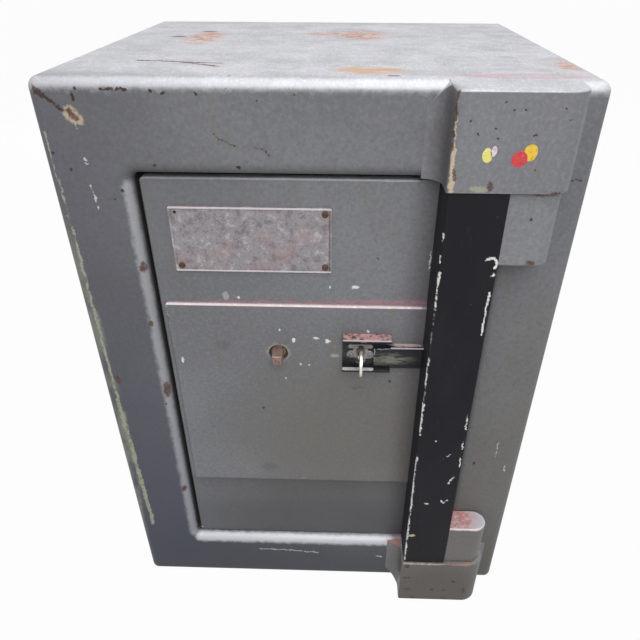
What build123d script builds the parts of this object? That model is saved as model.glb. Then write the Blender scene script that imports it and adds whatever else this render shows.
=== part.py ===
from build123d import *
from math import cos, hypot, radians, sqrt
import os

# Free-standing key lock safe with one door hung on the right.
# Millimetres, +Z up, the front faces -Y. The origin is the middle of the body's underside.
# A depth is measured back from the body's front face, so a negative one stands proud of it.

# Body
BODY_WIDTH = 508.0
BODY_DEPTH = 457.0
BODY_HEIGHT = 686.0
BODY_WALL = 12.0
EDGE_RADIUS = 10.0
BACK_PLATE = 8.0
BACK_PLATE_RECESS = 1.5
WELD_GAP = 0.2

# Door opening in the body's front
SIDE_FRAME = 78.0
SILL_HEIGHT = 82.0
HEAD_HEIGHT = 84.0
LIP_RADIUS = 11.5
OPENING_CORNER = 7.0
FRAME_WALL = 8.0
REBATE_DEPTH = 95.0

# Chamber
CHAMBER_STEP = 15.0
LINING = 2.0
BACK_INSULATION = 60.0
SHELF_SHEET = 2.0
SHELF_LIP = 18.0
SHELF_GAP = 1.0
SHELF_FRONT_GAP = 6.0
SHELF_BACK_GAP = 6.0
BEARER_LEG = 20.0
BEARER_SHEET = 2.5
BEARER_SETBACK = 14.0
RIVET_RADIUS = 2.5
RIVET_HEAD_RADIUS = 4.5
RIVET_HEAD = 2.0
RIVET_END_MARGIN = 25.0

# Hinge on the right of the opening
PIVOT_OUTSET = 29.0
PIVOT_FORWARD = 17.5
BOSS_RADIUS = 21.0
KNUCKLE_RADIUS = 16.5
UPPER_KNUCKLE_HEIGHT = 71.5
LOWER_KNUCKLE_HEIGHT = 68.0
KNUCKLE_EDGE = 1.5
PIN_RADIUS = 7.0
PIN_IN_KNUCKLE = 40.0
PIN_IN_CASTING = 42.0
PIN_CHAMFER = 1.0
RUNNING_GAP = 0.06
WASHER = 1.5
END_GAP = 0.3
CASTING_OVERLAP = 2.0
CASTING_FILLET = 18.0
CASTING_CORNER = 2.5
BOSS_FILLET = 9.0
CASTING_EDGE = 2.0
FAIRING = 0.8
RUN_OUT_DROP = 22.0
RUN_OUT_WIDTH = 1.05
RUN_OUT_MARGIN = 1.0

# Door
EDGE_GAP = 4.0
TOP_GAP = 5.0
BOTTOM_GAP = 1.2
DOOR_INSET = 10.0
DOOR_PLATE = 12.0
DOOR_CORNER = 5.0
DOOR_EDGE = 1.5
SWING_CLEARANCE = 4.2

# Hinge post, a heavy steel bar welded to the door plate
POST_WIDTH = 55.5
POST_PROUD = 36.5
POST_CORNER = 2.0
POST_TOP_GAP = 1.0
POST_BOTTOM_GAP = 2.0

# Armour plate on the door
ARMOUR_THICKNESS = 5.0
ARMOUR_SIDE_MARGIN = 6.0
ARMOUR_TOP_MARGIN = 136.0
ARMOUR_BOTTOM_MARGIN = 110.8
ARMOUR_CORNER = 3.0
ARMOUR_EDGE = 2.5

# Nameplate
NAMEPLATE_WIDTH = 162.0
NAMEPLATE_HEIGHT = 70.0
NAMEPLATE_LEFT_MARGIN = 24.0
NAMEPLATE_TOP_MARGIN = 28.0
NAMEPLATE_BASE = 1.6
NAMEPLATE_RIM = 2.4
NAMEPLATE_RIM_WIDTH = 2.6
NAMEPLATE_CORNER = 2.5
NAMEPLATE_SCREW_INSET = 6.5

# Round-head screws: shank radius, head radius, head height, length under the head
NAMEPLATE_SCREW = (1.8, 3.4, 1.7, 8.0)
ESCUTCHEON_SCREW = (1.3, 2.7, 1.2, 5.5)
COVER_SCREW = (2.0, 3.8, 1.8, 4.0)
BACK_SCREW = (2.5, 4.6, 2.2, 6.0)
SLOT_WIDTH = 0.8
SLOT_DEPTH = 0.7

# Handle spindle
SPINDLE_X = -45.5
SPINDLE_DROP = 62.0
SPINDLE_SQUARE = 11.5
SPINDLE_PROUD = 11.5
SPINDLE_RADIUS = 8.0
SPINDLE_SET_BACK = 8.5
SPINDLE_TAIL = 9.0
BUSH_WALL = 3.0
BUSH_FLANGE = 2.0
BUSH_FLANGE_RADIUS = 15.0
SIDE_GAP = 0.2

# Crank and its pin
CRANK_RADIUS = 21.2
CRANK_HUB = 13.0
CRANK_THICKNESS = 4.0
CRANK_EYE = 8.0
CRANK_PIN_RADIUS = 4.0
CRANK_PIN_OVERRUN = 2.3
THROW = 30.0

# Bolt carrier
CARRIER_GAP = 0.5
CARRIER_PLATE = 6.0
CARRIER_BAR = 8.0
TAIL_HEIGHT = 38.0
TAIL_DROP = 25.0
TAIL_RIGHT = 116.0
TAB_MARGIN = 9.0
TAB_RISE = 7.0
SLIDE_GAP = 0.3
PIN_SIDE_GAP = 0.9
PIN_END_GAP = 1.0
STUD_RADIUS = 5.0
STUD_FLANGE = 8.0
STUD_HEAD = 2.0
STUD_POSITIONS = (-70.0, 10.0)
STUD_RISE = 10.0

# Round bolts and dog bolts
BOLT_RADIUS = 11.0
BOLT_SET_BACK = 25.0
BOLT_LENGTH = 54.0
BOLT_CHAMFER = 2.0
BOLT_END_MARGIN = 60.0
BOLT_STUD_RADIUS = 5.0
NUT_ACROSS = 17.0
NUT_THICKNESS = 8.0
BOLT_BUSH_RADIUS = 15.0
BOLT_BUSH_FLANGE = 19.0
BOLT_BUSH_FLANGE_THICKNESS = 4.0
BOLT_BUSH_LENGTH = 20.0
SOCKET_GAP = 0.8
SOCKET_WALL = 3.0
SOCKET_DEPTH = 12.0
DOG_PROUD = 24.0
DOG_STUD = 14.0

# Door pan, its filling and its back plate
PAN_DEPTH = 60.0
PAN_WALL = 3.0
PAN_MARGIN = 16.0
PAN_RIGHT_MARGIN = 6.0
PAN_CORNER = 6.0
PAN_FLANGE = 15.0
BACK_COVER = 3.0
DOOR_FILLING = 16.0
FILLING_GAP = 1.0

# Lock
KEY_X = 47.2
KEY_DROP = 55.0
KEYHOLE_RADIUS = 4.0
KEYHOLE_SLOT = 4.0
KEYHOLE_LENGTH = 14.5
CASE_LEFT = 37.0
CASE_RIGHT = 47.0
CASE_BELOW = 30.0
CASE_ABOVE = 49.0
CASE_DEPTH = 32.0
CASE_WALL = 2.5
CASE_SCREW_INSET = 6.5
LOCK_THROW = 10.0
LOCK_BOLT_OFFSET = 25.0
LOCK_BOLT_WIDTH = 20.0
LOCK_BOLT_BELOW = 14.0
LOCK_BOLT_ABOVE = 30.0
TONGUE_WIDTH = 12.0
TALON_BELOW = 5.0
TALON_ABOVE = 15.5
TALON_THICKNESS = 5.0
TALON_LENGTH = 11.0
BOLT_GUIDE_RADIUS = 3.0
BOLT_GUIDE_OFFSET = 6.3
BOLT_GUIDE_RISE = 10.0
STUMP_RADIUS = 2.0
STUMP_OFFSET = -2.2
STUMP_RISE = 18.0
LEVER_COUNT = 4
LEVER_THICKNESS = 2.2
LEVER_SPACE = 0.3
LEVER_LEFT = 14.8
LEVER_WIDTH = 22.0
LEVER_BELOW = 16.0
LEVER_PIVOT_X = 30.8
LEVER_PIVOT_RISE = 39.0
LEVER_EYE = 6.0
LEVER_POST_RADIUS = 3.0
GATE_POCKET = 7.4
GATE_WIDTH = 5.6
GATE_SHIFT = 0.6
GATE_LENGTH = 3.0
GATE_END_GAP = 1.0

# Key
KEY_BOW_RADIUS = 15.0
KEY_BOW_HOLE = 7.0
KEY_BOW_SHIFT = 4.0
KEY_BOW_THICKNESS = 3.2
KEY_BOW_FORWARD = 23.0
KEY_SHANK_RADIUS = 3.0
KEY_COLLAR_RADIUS = 4.8
KEY_COLLAR = 3.0
KEY_COLLAR_GAP = 0.4
KEY_BIT_THICKNESS = 3.0
KEY_BIT_HEIGHTS = (13.0, 11.4, 12.6, 10.8, 12.2)

# Keyhole guard, guide channel, sliding keyhole cover and escutcheon
GUARD_LEFT = 20.2
GUARD_WIDTH = 53.5
GUARD_BELOW = 22.2
GUARD_HEIGHT = 43.0
GUARD_DEPTH = 13.5
GUARD_SHEET = 3.8
GUARD_WEB = 2.0
CHANNEL_BELOW = 19.0
CHANNEL_HEIGHT = 27.6
CHANNEL_DEPTH = 8.5
CHANNEL_SHEET = 2.5
SLIDE_LEFT = 14.8
SLIDE_THICKNESS = 2.0
SLIDE_SET_BACK = 1.0
SLIDE_GROOVE = 1.2
SLIDE_PLAY = 0.15
SLIDE_END_GAP = 0.5
ESCUTCHEON_SHEET = 1.6
ESCUTCHEON_WIDTH = 30.8
ESCUTCHEON_HEIGHT = 20.0
ESCUTCHEON_LOBE = 6.4
ESCUTCHEON_DROP = 5.0
ESCUTCHEON_LIP = 8.5
ESCUTCHEON_BROW_WIDTH = 27.5
ESCUTCHEON_BROW = 5.0

# Places worked out from the sizes
front = -BODY_DEPTH / 2
opening_width = BODY_WIDTH - 2 * SIDE_FRAME
jamb = opening_width / 2
opening_top = BODY_HEIGHT - HEAD_HEIGHT
opening_height = opening_top - SILL_HEIGHT
opening_middle = (opening_top + SILL_HEIGHT) / 2
back_plate_front = BODY_DEPTH - BACK_PLATE_RECESS - BACK_PLATE
frame_width = opening_width + 2 * FRAME_WALL
frame_height = opening_height + 2 * FRAME_WALL

chamber_width = opening_width - 2 * CHAMBER_STEP
chamber_height = opening_height - 2 * CHAMBER_STEP
chamber_front = REBATE_DEPTH + LINING
chamber_back = BODY_DEPTH - BACK_INSULATION
chamber_side = chamber_width / 2
shelf_front = chamber_front + SHELF_FRONT_GAP
shelf_back = chamber_back - SHELF_BACK_GAP
bearer_front = shelf_front + BEARER_SETBACK

pivot_x = jamb + PIVOT_OUTSET
pivot_y = front - PIVOT_FORWARD

door_left = -jamb + EDGE_GAP
door_right = jamb - EDGE_GAP
door_bottom = SILL_HEIGHT + BOTTOM_GAP
door_top = opening_top - TOP_GAP
door_width = door_right - door_left
door_height = door_top - door_bottom
door_x = (door_left + door_right) / 2
door_z = (door_top + door_bottom) / 2
door_back = DOOR_INSET + DOOR_PLATE

post_left = door_right - POST_WIDTH
post_bottom = SILL_HEIGHT + POST_BOTTOM_GAP
post_top = opening_top - POST_TOP_GAP

armour_front = DOOR_INSET - ARMOUR_THICKNESS
armour_left = door_left + ARMOUR_SIDE_MARGIN
armour_top = door_top - ARMOUR_TOP_MARGIN
armour_bottom = door_bottom + ARMOUR_BOTTOM_MARGIN

# The pan's left rear corner sweeps the same circle as the door's edge at the lip.
pan_back = door_back + PAN_DEPTH
cover_back = pan_back + BACK_COVER
swing_radius = hypot(pivot_x + jamb - SWING_CLEARANCE, DOOR_INSET + PIVOT_FORWARD)
pan_left = pivot_x - sqrt(swing_radius ** 2 - (cover_back + PIVOT_FORWARD) ** 2)
pan_right = door_right - PAN_RIGHT_MARGIN
pan_width = pan_right - pan_left
pan_x = (pan_right + pan_left) / 2
pan_height = door_height - 2 * PAN_MARGIN
pan_bottom = door_bottom + PAN_MARGIN
pan_top = door_top - PAN_MARGIN

spindle_z = armour_top - SPINDLE_DROP
key_z = armour_top - KEY_DROP

# Layers behind the door plate
crank_front = door_back + BUSH_FLANGE + SIDE_GAP
crank_back = crank_front + CRANK_THICKNESS
carrier_front = crank_back + CARRIER_GAP
carrier_back = carrier_front + CARRIER_PLATE
bolt_depth = door_back + BOLT_SET_BACK
bolt_y = front + bolt_depth
bolt_right = pan_left + BOLT_LENGTH
bar_back = bolt_depth + BOLT_RADIUS
bolt_heights = (pan_bottom + BOLT_END_MARGIN, door_z, pan_top - BOLT_END_MARGIN)
bolt_names = ("lower_bolt", "middle_bolt", "upper_bolt")
socket_radius = BOLT_RADIUS + SOCKET_GAP
socket_outer = socket_radius + SOCKET_WALL
dog_tip = pan_right + DOG_PROUD

# The crank pin swings 45 degrees to each side of straight down.
pin_swing = CRANK_RADIUS * cos(radians(45))
pin_x = SPINDLE_X + pin_swing
pin_z = spindle_z - pin_swing
pin_lowest = spindle_z - CRANK_RADIUS
slot_half = CRANK_PIN_RADIUS + PIN_SIDE_GAP
slot_bottom = pin_lowest - CRANK_PIN_RADIUS - PIN_END_GAP
slot_top = pin_z + CRANK_PIN_RADIUS + PIN_END_GAP
tail_top = spindle_z - TAIL_DROP
tail_bottom = tail_top - TAIL_HEIGHT
tab_top = slot_top + TAB_RISE
stud_z = tail_bottom + STUD_RISE

case_front = door_back
case_back = door_back + CASE_DEPTH
case_left = KEY_X - CASE_LEFT
case_right = KEY_X + CASE_RIGHT
case_bottom = key_z - CASE_BELOW
case_top = key_z + CASE_ABOVE
case_x = (case_left + case_right) / 2
case_z = (case_top + case_bottom) / 2
case_width = case_right - case_left
case_height = case_top - case_bottom
cover_front = case_back
cover_face = case_back + CASE_WALL
case_floor = case_front + CASE_WALL
lock_x = KEY_X + LOCK_BOLT_OFFSET
guide_x = lock_x + BOLT_GUIDE_OFFSET
guide_z = key_z + BOLT_GUIDE_RISE
stump_x = lock_x + STUMP_OFFSET
stump_z = key_z + STUMP_RISE
tongue_end = case_bottom
lever_front = carrier_back + LEVER_SPACE
lever_pitch = LEVER_THICKNESS + LEVER_SPACE
levers_back = lever_front + LEVER_COUNT * lever_pitch
lever_pivot = (KEY_X + LEVER_PIVOT_X, key_z + LEVER_PIVOT_RISE)
lever_left = KEY_X + LEVER_LEFT
lever_bottom = key_z - LEVER_BELOW

guard_back = armour_front
guard_face = guard_back - GUARD_WEB
guard_left = KEY_X - GUARD_LEFT
guard_right = guard_left + GUARD_WIDTH
guard_bottom = key_z - GUARD_BELOW
channel_bottom = key_z - CHANNEL_BELOW
channel_z = channel_bottom + CHANNEL_HEIGHT / 2
channel_inside = CHANNEL_HEIGHT - 2 * CHANNEL_SHEET
slide_left = KEY_X + SLIDE_LEFT
slide_right = post_left - SLIDE_END_GAP
slide_face = guard_back - CHANNEL_DEPTH + SLIDE_SET_BACK
slide_back = slide_face + SLIDE_THICKNESS
slide_height = channel_inside + 2 * (SLIDE_GROOVE - SLIDE_PLAY)
escutcheon_face = guard_face - ESCUTCHEON_SHEET
escutcheon_screws = [
    (KEY_X - ESCUTCHEON_WIDTH / 2 + ESCUTCHEON_LOBE - 1.2, key_z - ESCUTCHEON_DROP),
    (KEY_X + ESCUTCHEON_WIDTH / 2 - ESCUTCHEON_LOBE + 1.2, key_z - ESCUTCHEON_DROP),
]

nameplate_x = door_left + NAMEPLATE_LEFT_MARGIN + NAMEPLATE_WIDTH / 2
nameplate_z = door_top - NAMEPLATE_TOP_MARGIN - NAMEPLATE_HEIGHT / 2
nameplate_half_x = NAMEPLATE_WIDTH / 2 - NAMEPLATE_SCREW_INSET
nameplate_half_z = NAMEPLATE_HEIGHT / 2 - NAMEPLATE_SCREW_INSET
nameplate_holes = [
    (nameplate_x + side * nameplate_half_x, nameplate_z + level * nameplate_half_z)
    for level in (-1, 1)
    for side in (1, -1)
]
missing_nameplate_screw = (nameplate_x - nameplate_half_x, nameplate_z + nameplate_half_z)

case_screws = [
    (x, z)
    for x in (case_left + CASE_SCREW_INSET, case_right - CASE_SCREW_INSET)
    for z in (case_bottom + CASE_SCREW_INSET, case_top - CASE_SCREW_INSET)
]
back_screw_heights = (
    pan_bottom + PAN_FLANGE,
    (pan_bottom * 2 + pan_top) / 3,
    (pan_bottom + pan_top * 2) / 3,
    pan_top - PAN_FLANGE,
)
back_screws = [
    (x, z)
    for x in (pan_left + PAN_FLANGE / 2, pan_right - PAN_FLANGE / 2)
    for z in back_screw_heights
]


def facing(depth):
    """Plane across the safe at a depth, with X to the right, Z up and its normal to the front."""
    return Plane.XZ.offset(-(front + depth))


def save(piece, name):
    piece.part.label = name
    export_step(piece.part, f"parts/{name}.step")


os.makedirs("parts", exist_ok=True)


# Body casing: one welded box, open at the back, with a rounded lip round the door opening
with BuildPart() as body_casing:
    with BuildSketch(Plane.XY):
        Rectangle(BODY_WIDTH, BODY_DEPTH)
    extrude(amount=BODY_HEIGHT)
    fillet(body_casing.edges(), radius=min(EDGE_RADIUS, BODY_WALL - 0.5))
    with BuildSketch(facing(BODY_DEPTH)):
        with Locations((0, BODY_HEIGHT / 2)):
            Rectangle(BODY_WIDTH - 2 * BODY_WALL, BODY_HEIGHT - 2 * BODY_WALL)
    extrude(amount=BODY_DEPTH - BODY_WALL, mode=Mode.SUBTRACT)
    with BuildSketch(facing(BODY_WALL)):
        with Locations((0, opening_middle)):
            RectangleRounded(opening_width, opening_height, OPENING_CORNER)
    extrude(amount=BODY_WALL, mode=Mode.SUBTRACT)
    front_face = body_casing.faces().sort_by(Axis.Y)[0]
    fillet(front_face.inner_wires()[0].edges(), radius=min(LIP_RADIUS, BODY_WALL - 0.5))
save(body_casing, "body_casing")

# Back plate, let into the open back of the casing
with BuildPart() as back_plate:
    with BuildSketch(facing(BODY_DEPTH - BACK_PLATE_RECESS)):
        with Locations((0, BODY_HEIGHT / 2)):
            Rectangle(BODY_WIDTH - 2 * (BODY_WALL + WELD_GAP), BODY_HEIGHT - 2 * (BODY_WALL + WELD_GAP))
    extrude(amount=BACK_PLATE)
    chamfer(back_plate.faces().sort_by(Axis.Y)[-1].edges(), length=BACK_PLATE_RECESS)
save(back_plate, "back_plate")

# The front corner of a dog bolt's tip swings forward before it leaves the jamb.
dog_front = bolt_depth - BOLT_RADIUS
dog_reach = hypot(pivot_x - dog_tip, dog_front + PIVOT_FORWARD)
slot_front = sqrt(dog_reach ** 2 - PIVOT_OUTSET ** 2) - PIVOT_FORWARD - SOCKET_GAP
slot_back = bolt_depth + BOLT_RADIUS + SOCKET_GAP
slot_depth = slot_back - slot_front
slot_y = front + (slot_front + slot_back) / 2
slot_corner = min(socket_radius, slot_depth / 2) - 0.5
dog_pocket = dog_tip + SOCKET_WALL

# Door frame: the lining of the opening, with round holes for the bolts and slots for the dogs
with BuildPart() as door_frame:
    with BuildSketch(facing(REBATE_DEPTH)):
        with Locations((0, opening_middle)):
            Rectangle(frame_width, frame_height)
            RectangleRounded(opening_width, opening_height, OPENING_CORNER, mode=Mode.SUBTRACT)
    extrude(amount=REBATE_DEPTH - BODY_WALL)
    with BuildSketch(Plane.YZ.offset(-jamb - FRAME_WALL)):
        with Locations(*[(bolt_y, z) for z in bolt_heights]):
            Circle(socket_radius)
    extrude(amount=FRAME_WALL, mode=Mode.SUBTRACT)
    with BuildSketch(Plane.YZ.offset(jamb)):
        with Locations(*[(slot_y, z) for z in bolt_heights]):
            RectangleRounded(slot_depth, 2 * socket_radius, slot_corner)
    extrude(amount=FRAME_WALL, mode=Mode.SUBTRACT)
save(door_frame, "door_frame")

# Bolt sockets: closed cups behind the holes on the left, sunk in the filling
with BuildPart() as bolt_sockets:
    with BuildSketch(Plane.YZ.offset(-jamb - FRAME_WALL - SOCKET_DEPTH)):
        with Locations(*[(bolt_y, z) for z in bolt_heights]):
            Circle(socket_outer)
    extrude(amount=SOCKET_DEPTH)
    with BuildSketch(Plane.YZ.offset(-jamb - FRAME_WALL - SOCKET_DEPTH + SOCKET_WALL)):
        with Locations(*[(bolt_y, z) for z in bolt_heights]):
            Circle(socket_radius)
    extrude(amount=SOCKET_DEPTH - SOCKET_WALL, mode=Mode.SUBTRACT)
save(bolt_sockets, "bolt_sockets")

bearer_top = opening_middle
bearer_length = shelf_back - bearer_front
rivet_z = bearer_top - BEARER_LEG / 2
rivet_depths = (
    bearer_front + RIVET_END_MARGIN,
    (bearer_front + shelf_back) / 2,
    shelf_back - RIVET_END_MARGIN,
)

# Chamber lining: a sheet box with a flange that meets the back of the door frame
with BuildPart() as chamber_lining:
    with BuildSketch(facing(chamber_back + LINING)):
        with Locations((0, opening_middle)):
            Rectangle(chamber_width + 2 * LINING, chamber_height + 2 * LINING)
    extrude(amount=chamber_back - REBATE_DEPTH + LINING)
    with BuildSketch(facing(chamber_front)):
        with Locations((0, opening_middle)):
            Rectangle(frame_width, frame_height)
    extrude(amount=LINING)
    with BuildSketch(facing(chamber_back)):
        with Locations((0, opening_middle)):
            Rectangle(chamber_width, chamber_height)
    extrude(amount=chamber_back - REBATE_DEPTH, mode=Mode.SUBTRACT)
    with BuildSketch(Plane.YZ.offset(-chamber_side - LINING)):
        with Locations(*[(front + depth, rivet_z) for depth in rivet_depths]):
            Circle(RIVET_RADIUS)
    extrude(amount=chamber_width + 2 * LINING, mode=Mode.SUBTRACT)
save(chamber_lining, "chamber_lining")

# Fire filling, cast round the frame, the lining, the sockets and the dog pockets
with BuildPart() as fire_filling:
    with BuildSketch(facing(back_plate_front)):
        with Locations((0, BODY_HEIGHT / 2)):
            Rectangle(BODY_WIDTH - 2 * BODY_WALL, BODY_HEIGHT - 2 * BODY_WALL)
    extrude(amount=back_plate_front - BODY_WALL)
    with BuildSketch(facing(chamber_front)):
        with Locations((0, opening_middle)):
            Rectangle(frame_width, frame_height)
    extrude(amount=chamber_front - BODY_WALL, mode=Mode.SUBTRACT)
    with BuildSketch(facing(chamber_back + LINING)):
        with Locations((0, opening_middle)):
            Rectangle(chamber_width + 2 * LINING, chamber_height + 2 * LINING)
    extrude(amount=chamber_back + LINING - BODY_WALL, mode=Mode.SUBTRACT)
    with BuildSketch(Plane.YZ.offset(-jamb - FRAME_WALL - SOCKET_DEPTH)):
        with Locations(*[(bolt_y, z) for z in bolt_heights]):
            Circle(socket_outer)
    extrude(amount=SOCKET_DEPTH, mode=Mode.SUBTRACT)
    with BuildSketch(Plane.YZ.offset(jamb + FRAME_WALL)):
        with Locations(*[(slot_y, z) for z in bolt_heights]):
            RectangleRounded(slot_depth, 2 * socket_radius, slot_corner)
    extrude(amount=dog_pocket - jamb - FRAME_WALL, mode=Mode.SUBTRACT)
save(fire_filling, "fire_filling")

# Shelf bearers: an angle on each side wall of the chamber, the right one mirrored to the left
with BuildPart() as shelf_bearers:
    with BuildSketch(facing(shelf_back)):
        with BuildLine():
            Polyline(
                (chamber_side, bearer_top),
                (chamber_side - BEARER_LEG, bearer_top),
                (chamber_side - BEARER_LEG, bearer_top - BEARER_SHEET),
                (chamber_side - BEARER_SHEET, bearer_top - BEARER_SHEET),
                (chamber_side - BEARER_SHEET, bearer_top - BEARER_LEG),
                (chamber_side, bearer_top - BEARER_LEG),
                close=True,
            )
        make_face()
    extrude(amount=bearer_length)
    with BuildSketch(Plane.YZ.offset(chamber_side - BEARER_SHEET)):
        with Locations(*[(front + depth, rivet_z) for depth in rivet_depths]):
            Circle(RIVET_RADIUS)
    extrude(amount=BEARER_SHEET, mode=Mode.SUBTRACT)
    mirror(about=Plane.YZ)
save(shelf_bearers, "shelf_bearers")

# Rivets through the bearers and the lining
with BuildPart() as bearer_rivets:
    with BuildSketch(Plane.YZ.offset(chamber_side - BEARER_SHEET)):
        with Locations(*[(front + depth, rivet_z) for depth in rivet_depths]):
            Circle(RIVET_RADIUS)
    extrude(amount=BEARER_SHEET + LINING)
    with BuildSketch(Plane.YZ.offset(chamber_side - BEARER_SHEET - RIVET_HEAD)):
        with Locations(*[(front + depth, rivet_z) for depth in rivet_depths]):
            Circle(RIVET_HEAD_RADIUS)
    extrude(amount=RIVET_HEAD)
    chamfer(bearer_rivets.faces().group_by(Axis.X)[0].edges(), length=RIVET_HEAD * 0.6)
    mirror(about=Plane.YZ)
save(bearer_rivets, "bearer_rivets")

# Shelf: a sheet that lies on the bearers, its front edge folded down
with BuildPart() as shelf:
    with BuildSketch(Plane.XY.offset(bearer_top)):
        with Locations((0, front + (shelf_front + shelf_back) / 2)):
            Rectangle(chamber_width - 2 * SHELF_GAP, shelf_back - shelf_front)
    extrude(amount=SHELF_SHEET)
    with BuildSketch(facing(shelf_front + SHELF_SHEET)):
        with Locations((0, bearer_top + SHELF_SHEET - SHELF_LIP / 2)):
            Rectangle(chamber_width - 2 * SHELF_GAP, SHELF_LIP)
    extrude(amount=SHELF_SHEET)
    fillet(shelf.edges().group_by(Axis.Z)[-1].group_by(Axis.Y)[0], radius=SHELF_SHEET * 0.7)
save(shelf, "shelf")


def hinge_casting(name, bottom, top, outer_edge, inner_face, toward_middle):
    """Block with a boss round the pivot, fillets into the body and a blind bore for the pin."""
    left = post_left - CASTING_OVERLAP
    face = pivot_y - BOSS_RADIUS
    right = pivot_x + BOSS_RADIUS
    with BuildPart() as casting:
        with BuildSketch(Plane.XY.offset(bottom)):
            with BuildLine():
                foot = JernArc((left - CASTING_FILLET, front), (1, 0), CASTING_FILLET, -90)
                flank = Line(foot @ 1, (left, face + CASTING_CORNER))
                corner = JernArc(flank @ 1, (0, -1), CASTING_CORNER, 90)
                middle = Line(corner @ 1, (pivot_x, face))
                boss = JernArc(middle @ 1, (1, 0), BOSS_RADIUS, 90)
                side = Line(boss @ 1, (right, front - BOSS_FILLET))
                toe = JernArc(side @ 1, (0, 1), BOSS_FILLET, -90)
                Line(toe @ 1, foot @ 0)
            make_face()
        extrude(amount=top - bottom)
        # The fillets at both flanks run out before the rounded edge of the body
        sign = -toward_middle
        beyond = outer_edge + sign * RUN_OUT_MARGIN
        with BuildSketch(facing(0)):
            for flank_x, reach in ((left, -CASTING_FILLET), (right, BOSS_FILLET)):
                tip = flank_x + reach * RUN_OUT_WIDTH
                with BuildLine():
                    Polyline(
                        (flank_x, outer_edge),
                        (flank_x, beyond),
                        (tip, beyond),
                        (tip, outer_edge - sign * RUN_OUT_DROP),
                        close=True,
                    )
                make_face()
        extrude(amount=front - face, mode=Mode.SUBTRACT)
        # Fairing over the rounded edge of the body
        drop = outer_edge - sign * EDGE_RADIUS
        reach = FAIRING * EDGE_RADIUS
        rise = sqrt(EDGE_RADIUS ** 2 - (EDGE_RADIUS - reach) ** 2)
        half = EDGE_RADIUS * (1 - cos(radians(30)))
        with BuildSketch(Plane.YZ.offset(left)):
            with BuildLine():
                Line((front, drop), (front, outer_edge))
                Line((front, outer_edge), (front + reach, outer_edge))
                Line((front + reach, outer_edge), (front + reach, drop + sign * rise))
                ThreePointArc(
                    (front + reach, drop + sign * rise),
                    (front + half, drop + sign * EDGE_RADIUS / 2),
                    (front, drop),
                )
            make_face()
        extrude(amount=right - left)
        outer = casting.edges().filter_by(Plane.XY)
        outer = outer.filter_by(lambda edge: abs(edge.center().Z - outer_edge) < 0.01)
        outer = outer.filter_by(lambda edge: edge.center().Y < face + 0.7 * BOSS_RADIUS)
        outer = outer.filter_by(lambda edge: edge.length > 1)
        fillet(outer, radius=CASTING_EDGE)
        with BuildSketch(Plane.XY.offset(inner_face)):
            with Locations((pivot_x, pivot_y)):
                Circle(PIN_RADIUS)
        extrude(amount=-toward_middle * PIN_IN_CASTING, mode=Mode.SUBTRACT)
    save(casting, name)


hinge_casting("upper_hinge_casting", opening_top, BODY_HEIGHT, BODY_HEIGHT, opening_top, -1)
hinge_casting("lower_hinge_casting", 0, SILL_HEIGHT, 0, SILL_HEIGHT, 1)


def hinge_pin(name, bottom):
    """Plain pin, pressed in its casting and running in the knuckle."""
    with BuildPart() as pin:
        with BuildSketch(Plane.XY.offset(bottom)):
            with Locations((pivot_x, pivot_y)):
                Circle(PIN_RADIUS)
        extrude(amount=PIN_IN_CASTING + PIN_IN_KNUCKLE)
        chamfer(pin.edges(), length=PIN_CHAMFER)
    save(pin, name)


hinge_pin("upper_hinge_pin", opening_top - PIN_IN_KNUCKLE)
hinge_pin("lower_hinge_pin", SILL_HEIGHT - PIN_IN_CASTING)

# Washer that carries the door on the lower casting
with BuildPart() as thrust_washer:
    with BuildSketch(Plane.XY.offset(SILL_HEIGHT)):
        with Locations((pivot_x, pivot_y)):
            Circle(KNUCKLE_RADIUS - 1)
            Circle(PIN_RADIUS + RUNNING_GAP, mode=Mode.SUBTRACT)
    extrude(amount=WASHER)
save(thrust_washer, "thrust_washer")


def keyhole(gap=0.0):
    """Round hole with a slot below it, about the key's axis."""
    with BuildSketch() as outline:
        with Locations((KEY_X, key_z)):
            Circle(KEYHOLE_RADIUS + gap)
        with Locations((KEY_X, key_z - KEYHOLE_LENGTH / 2)):
            Rectangle(KEYHOLE_SLOT + 2 * gap, KEYHOLE_LENGTH + 2 * gap)
    return outline.sketch


# Door plate
with BuildPart() as door_plate:
    with BuildSketch(facing(door_back)):
        with Locations((door_x, door_z)):
            RectangleRounded(door_width, door_height, DOOR_CORNER)
    extrude(amount=DOOR_PLATE)
    chamfer(door_plate.faces().sort_by(Axis.Y)[0].edges(), length=DOOR_EDGE)
    with BuildSketch(facing(door_back)):
        add(keyhole())
        with Locations((SPINDLE_X, spindle_z)):
            Circle(SPINDLE_RADIUS + BUSH_WALL)
    extrude(amount=DOOR_PLATE, mode=Mode.SUBTRACT)
    with BuildSketch(facing(DOOR_INSET + NAMEPLATE_SCREW[3] - NAMEPLATE_BASE)):
        with Locations(*nameplate_holes):
            Circle(NAMEPLATE_SCREW[0])
    extrude(amount=NAMEPLATE_SCREW[3] - NAMEPLATE_BASE, mode=Mode.SUBTRACT)
    with BuildSketch(facing(door_back)):
        with Locations(*case_screws):
            Circle(COVER_SCREW[0])
    extrude(amount=COVER_SCREW[3], mode=Mode.SUBTRACT)
save(door_plate, "door_plate")

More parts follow.
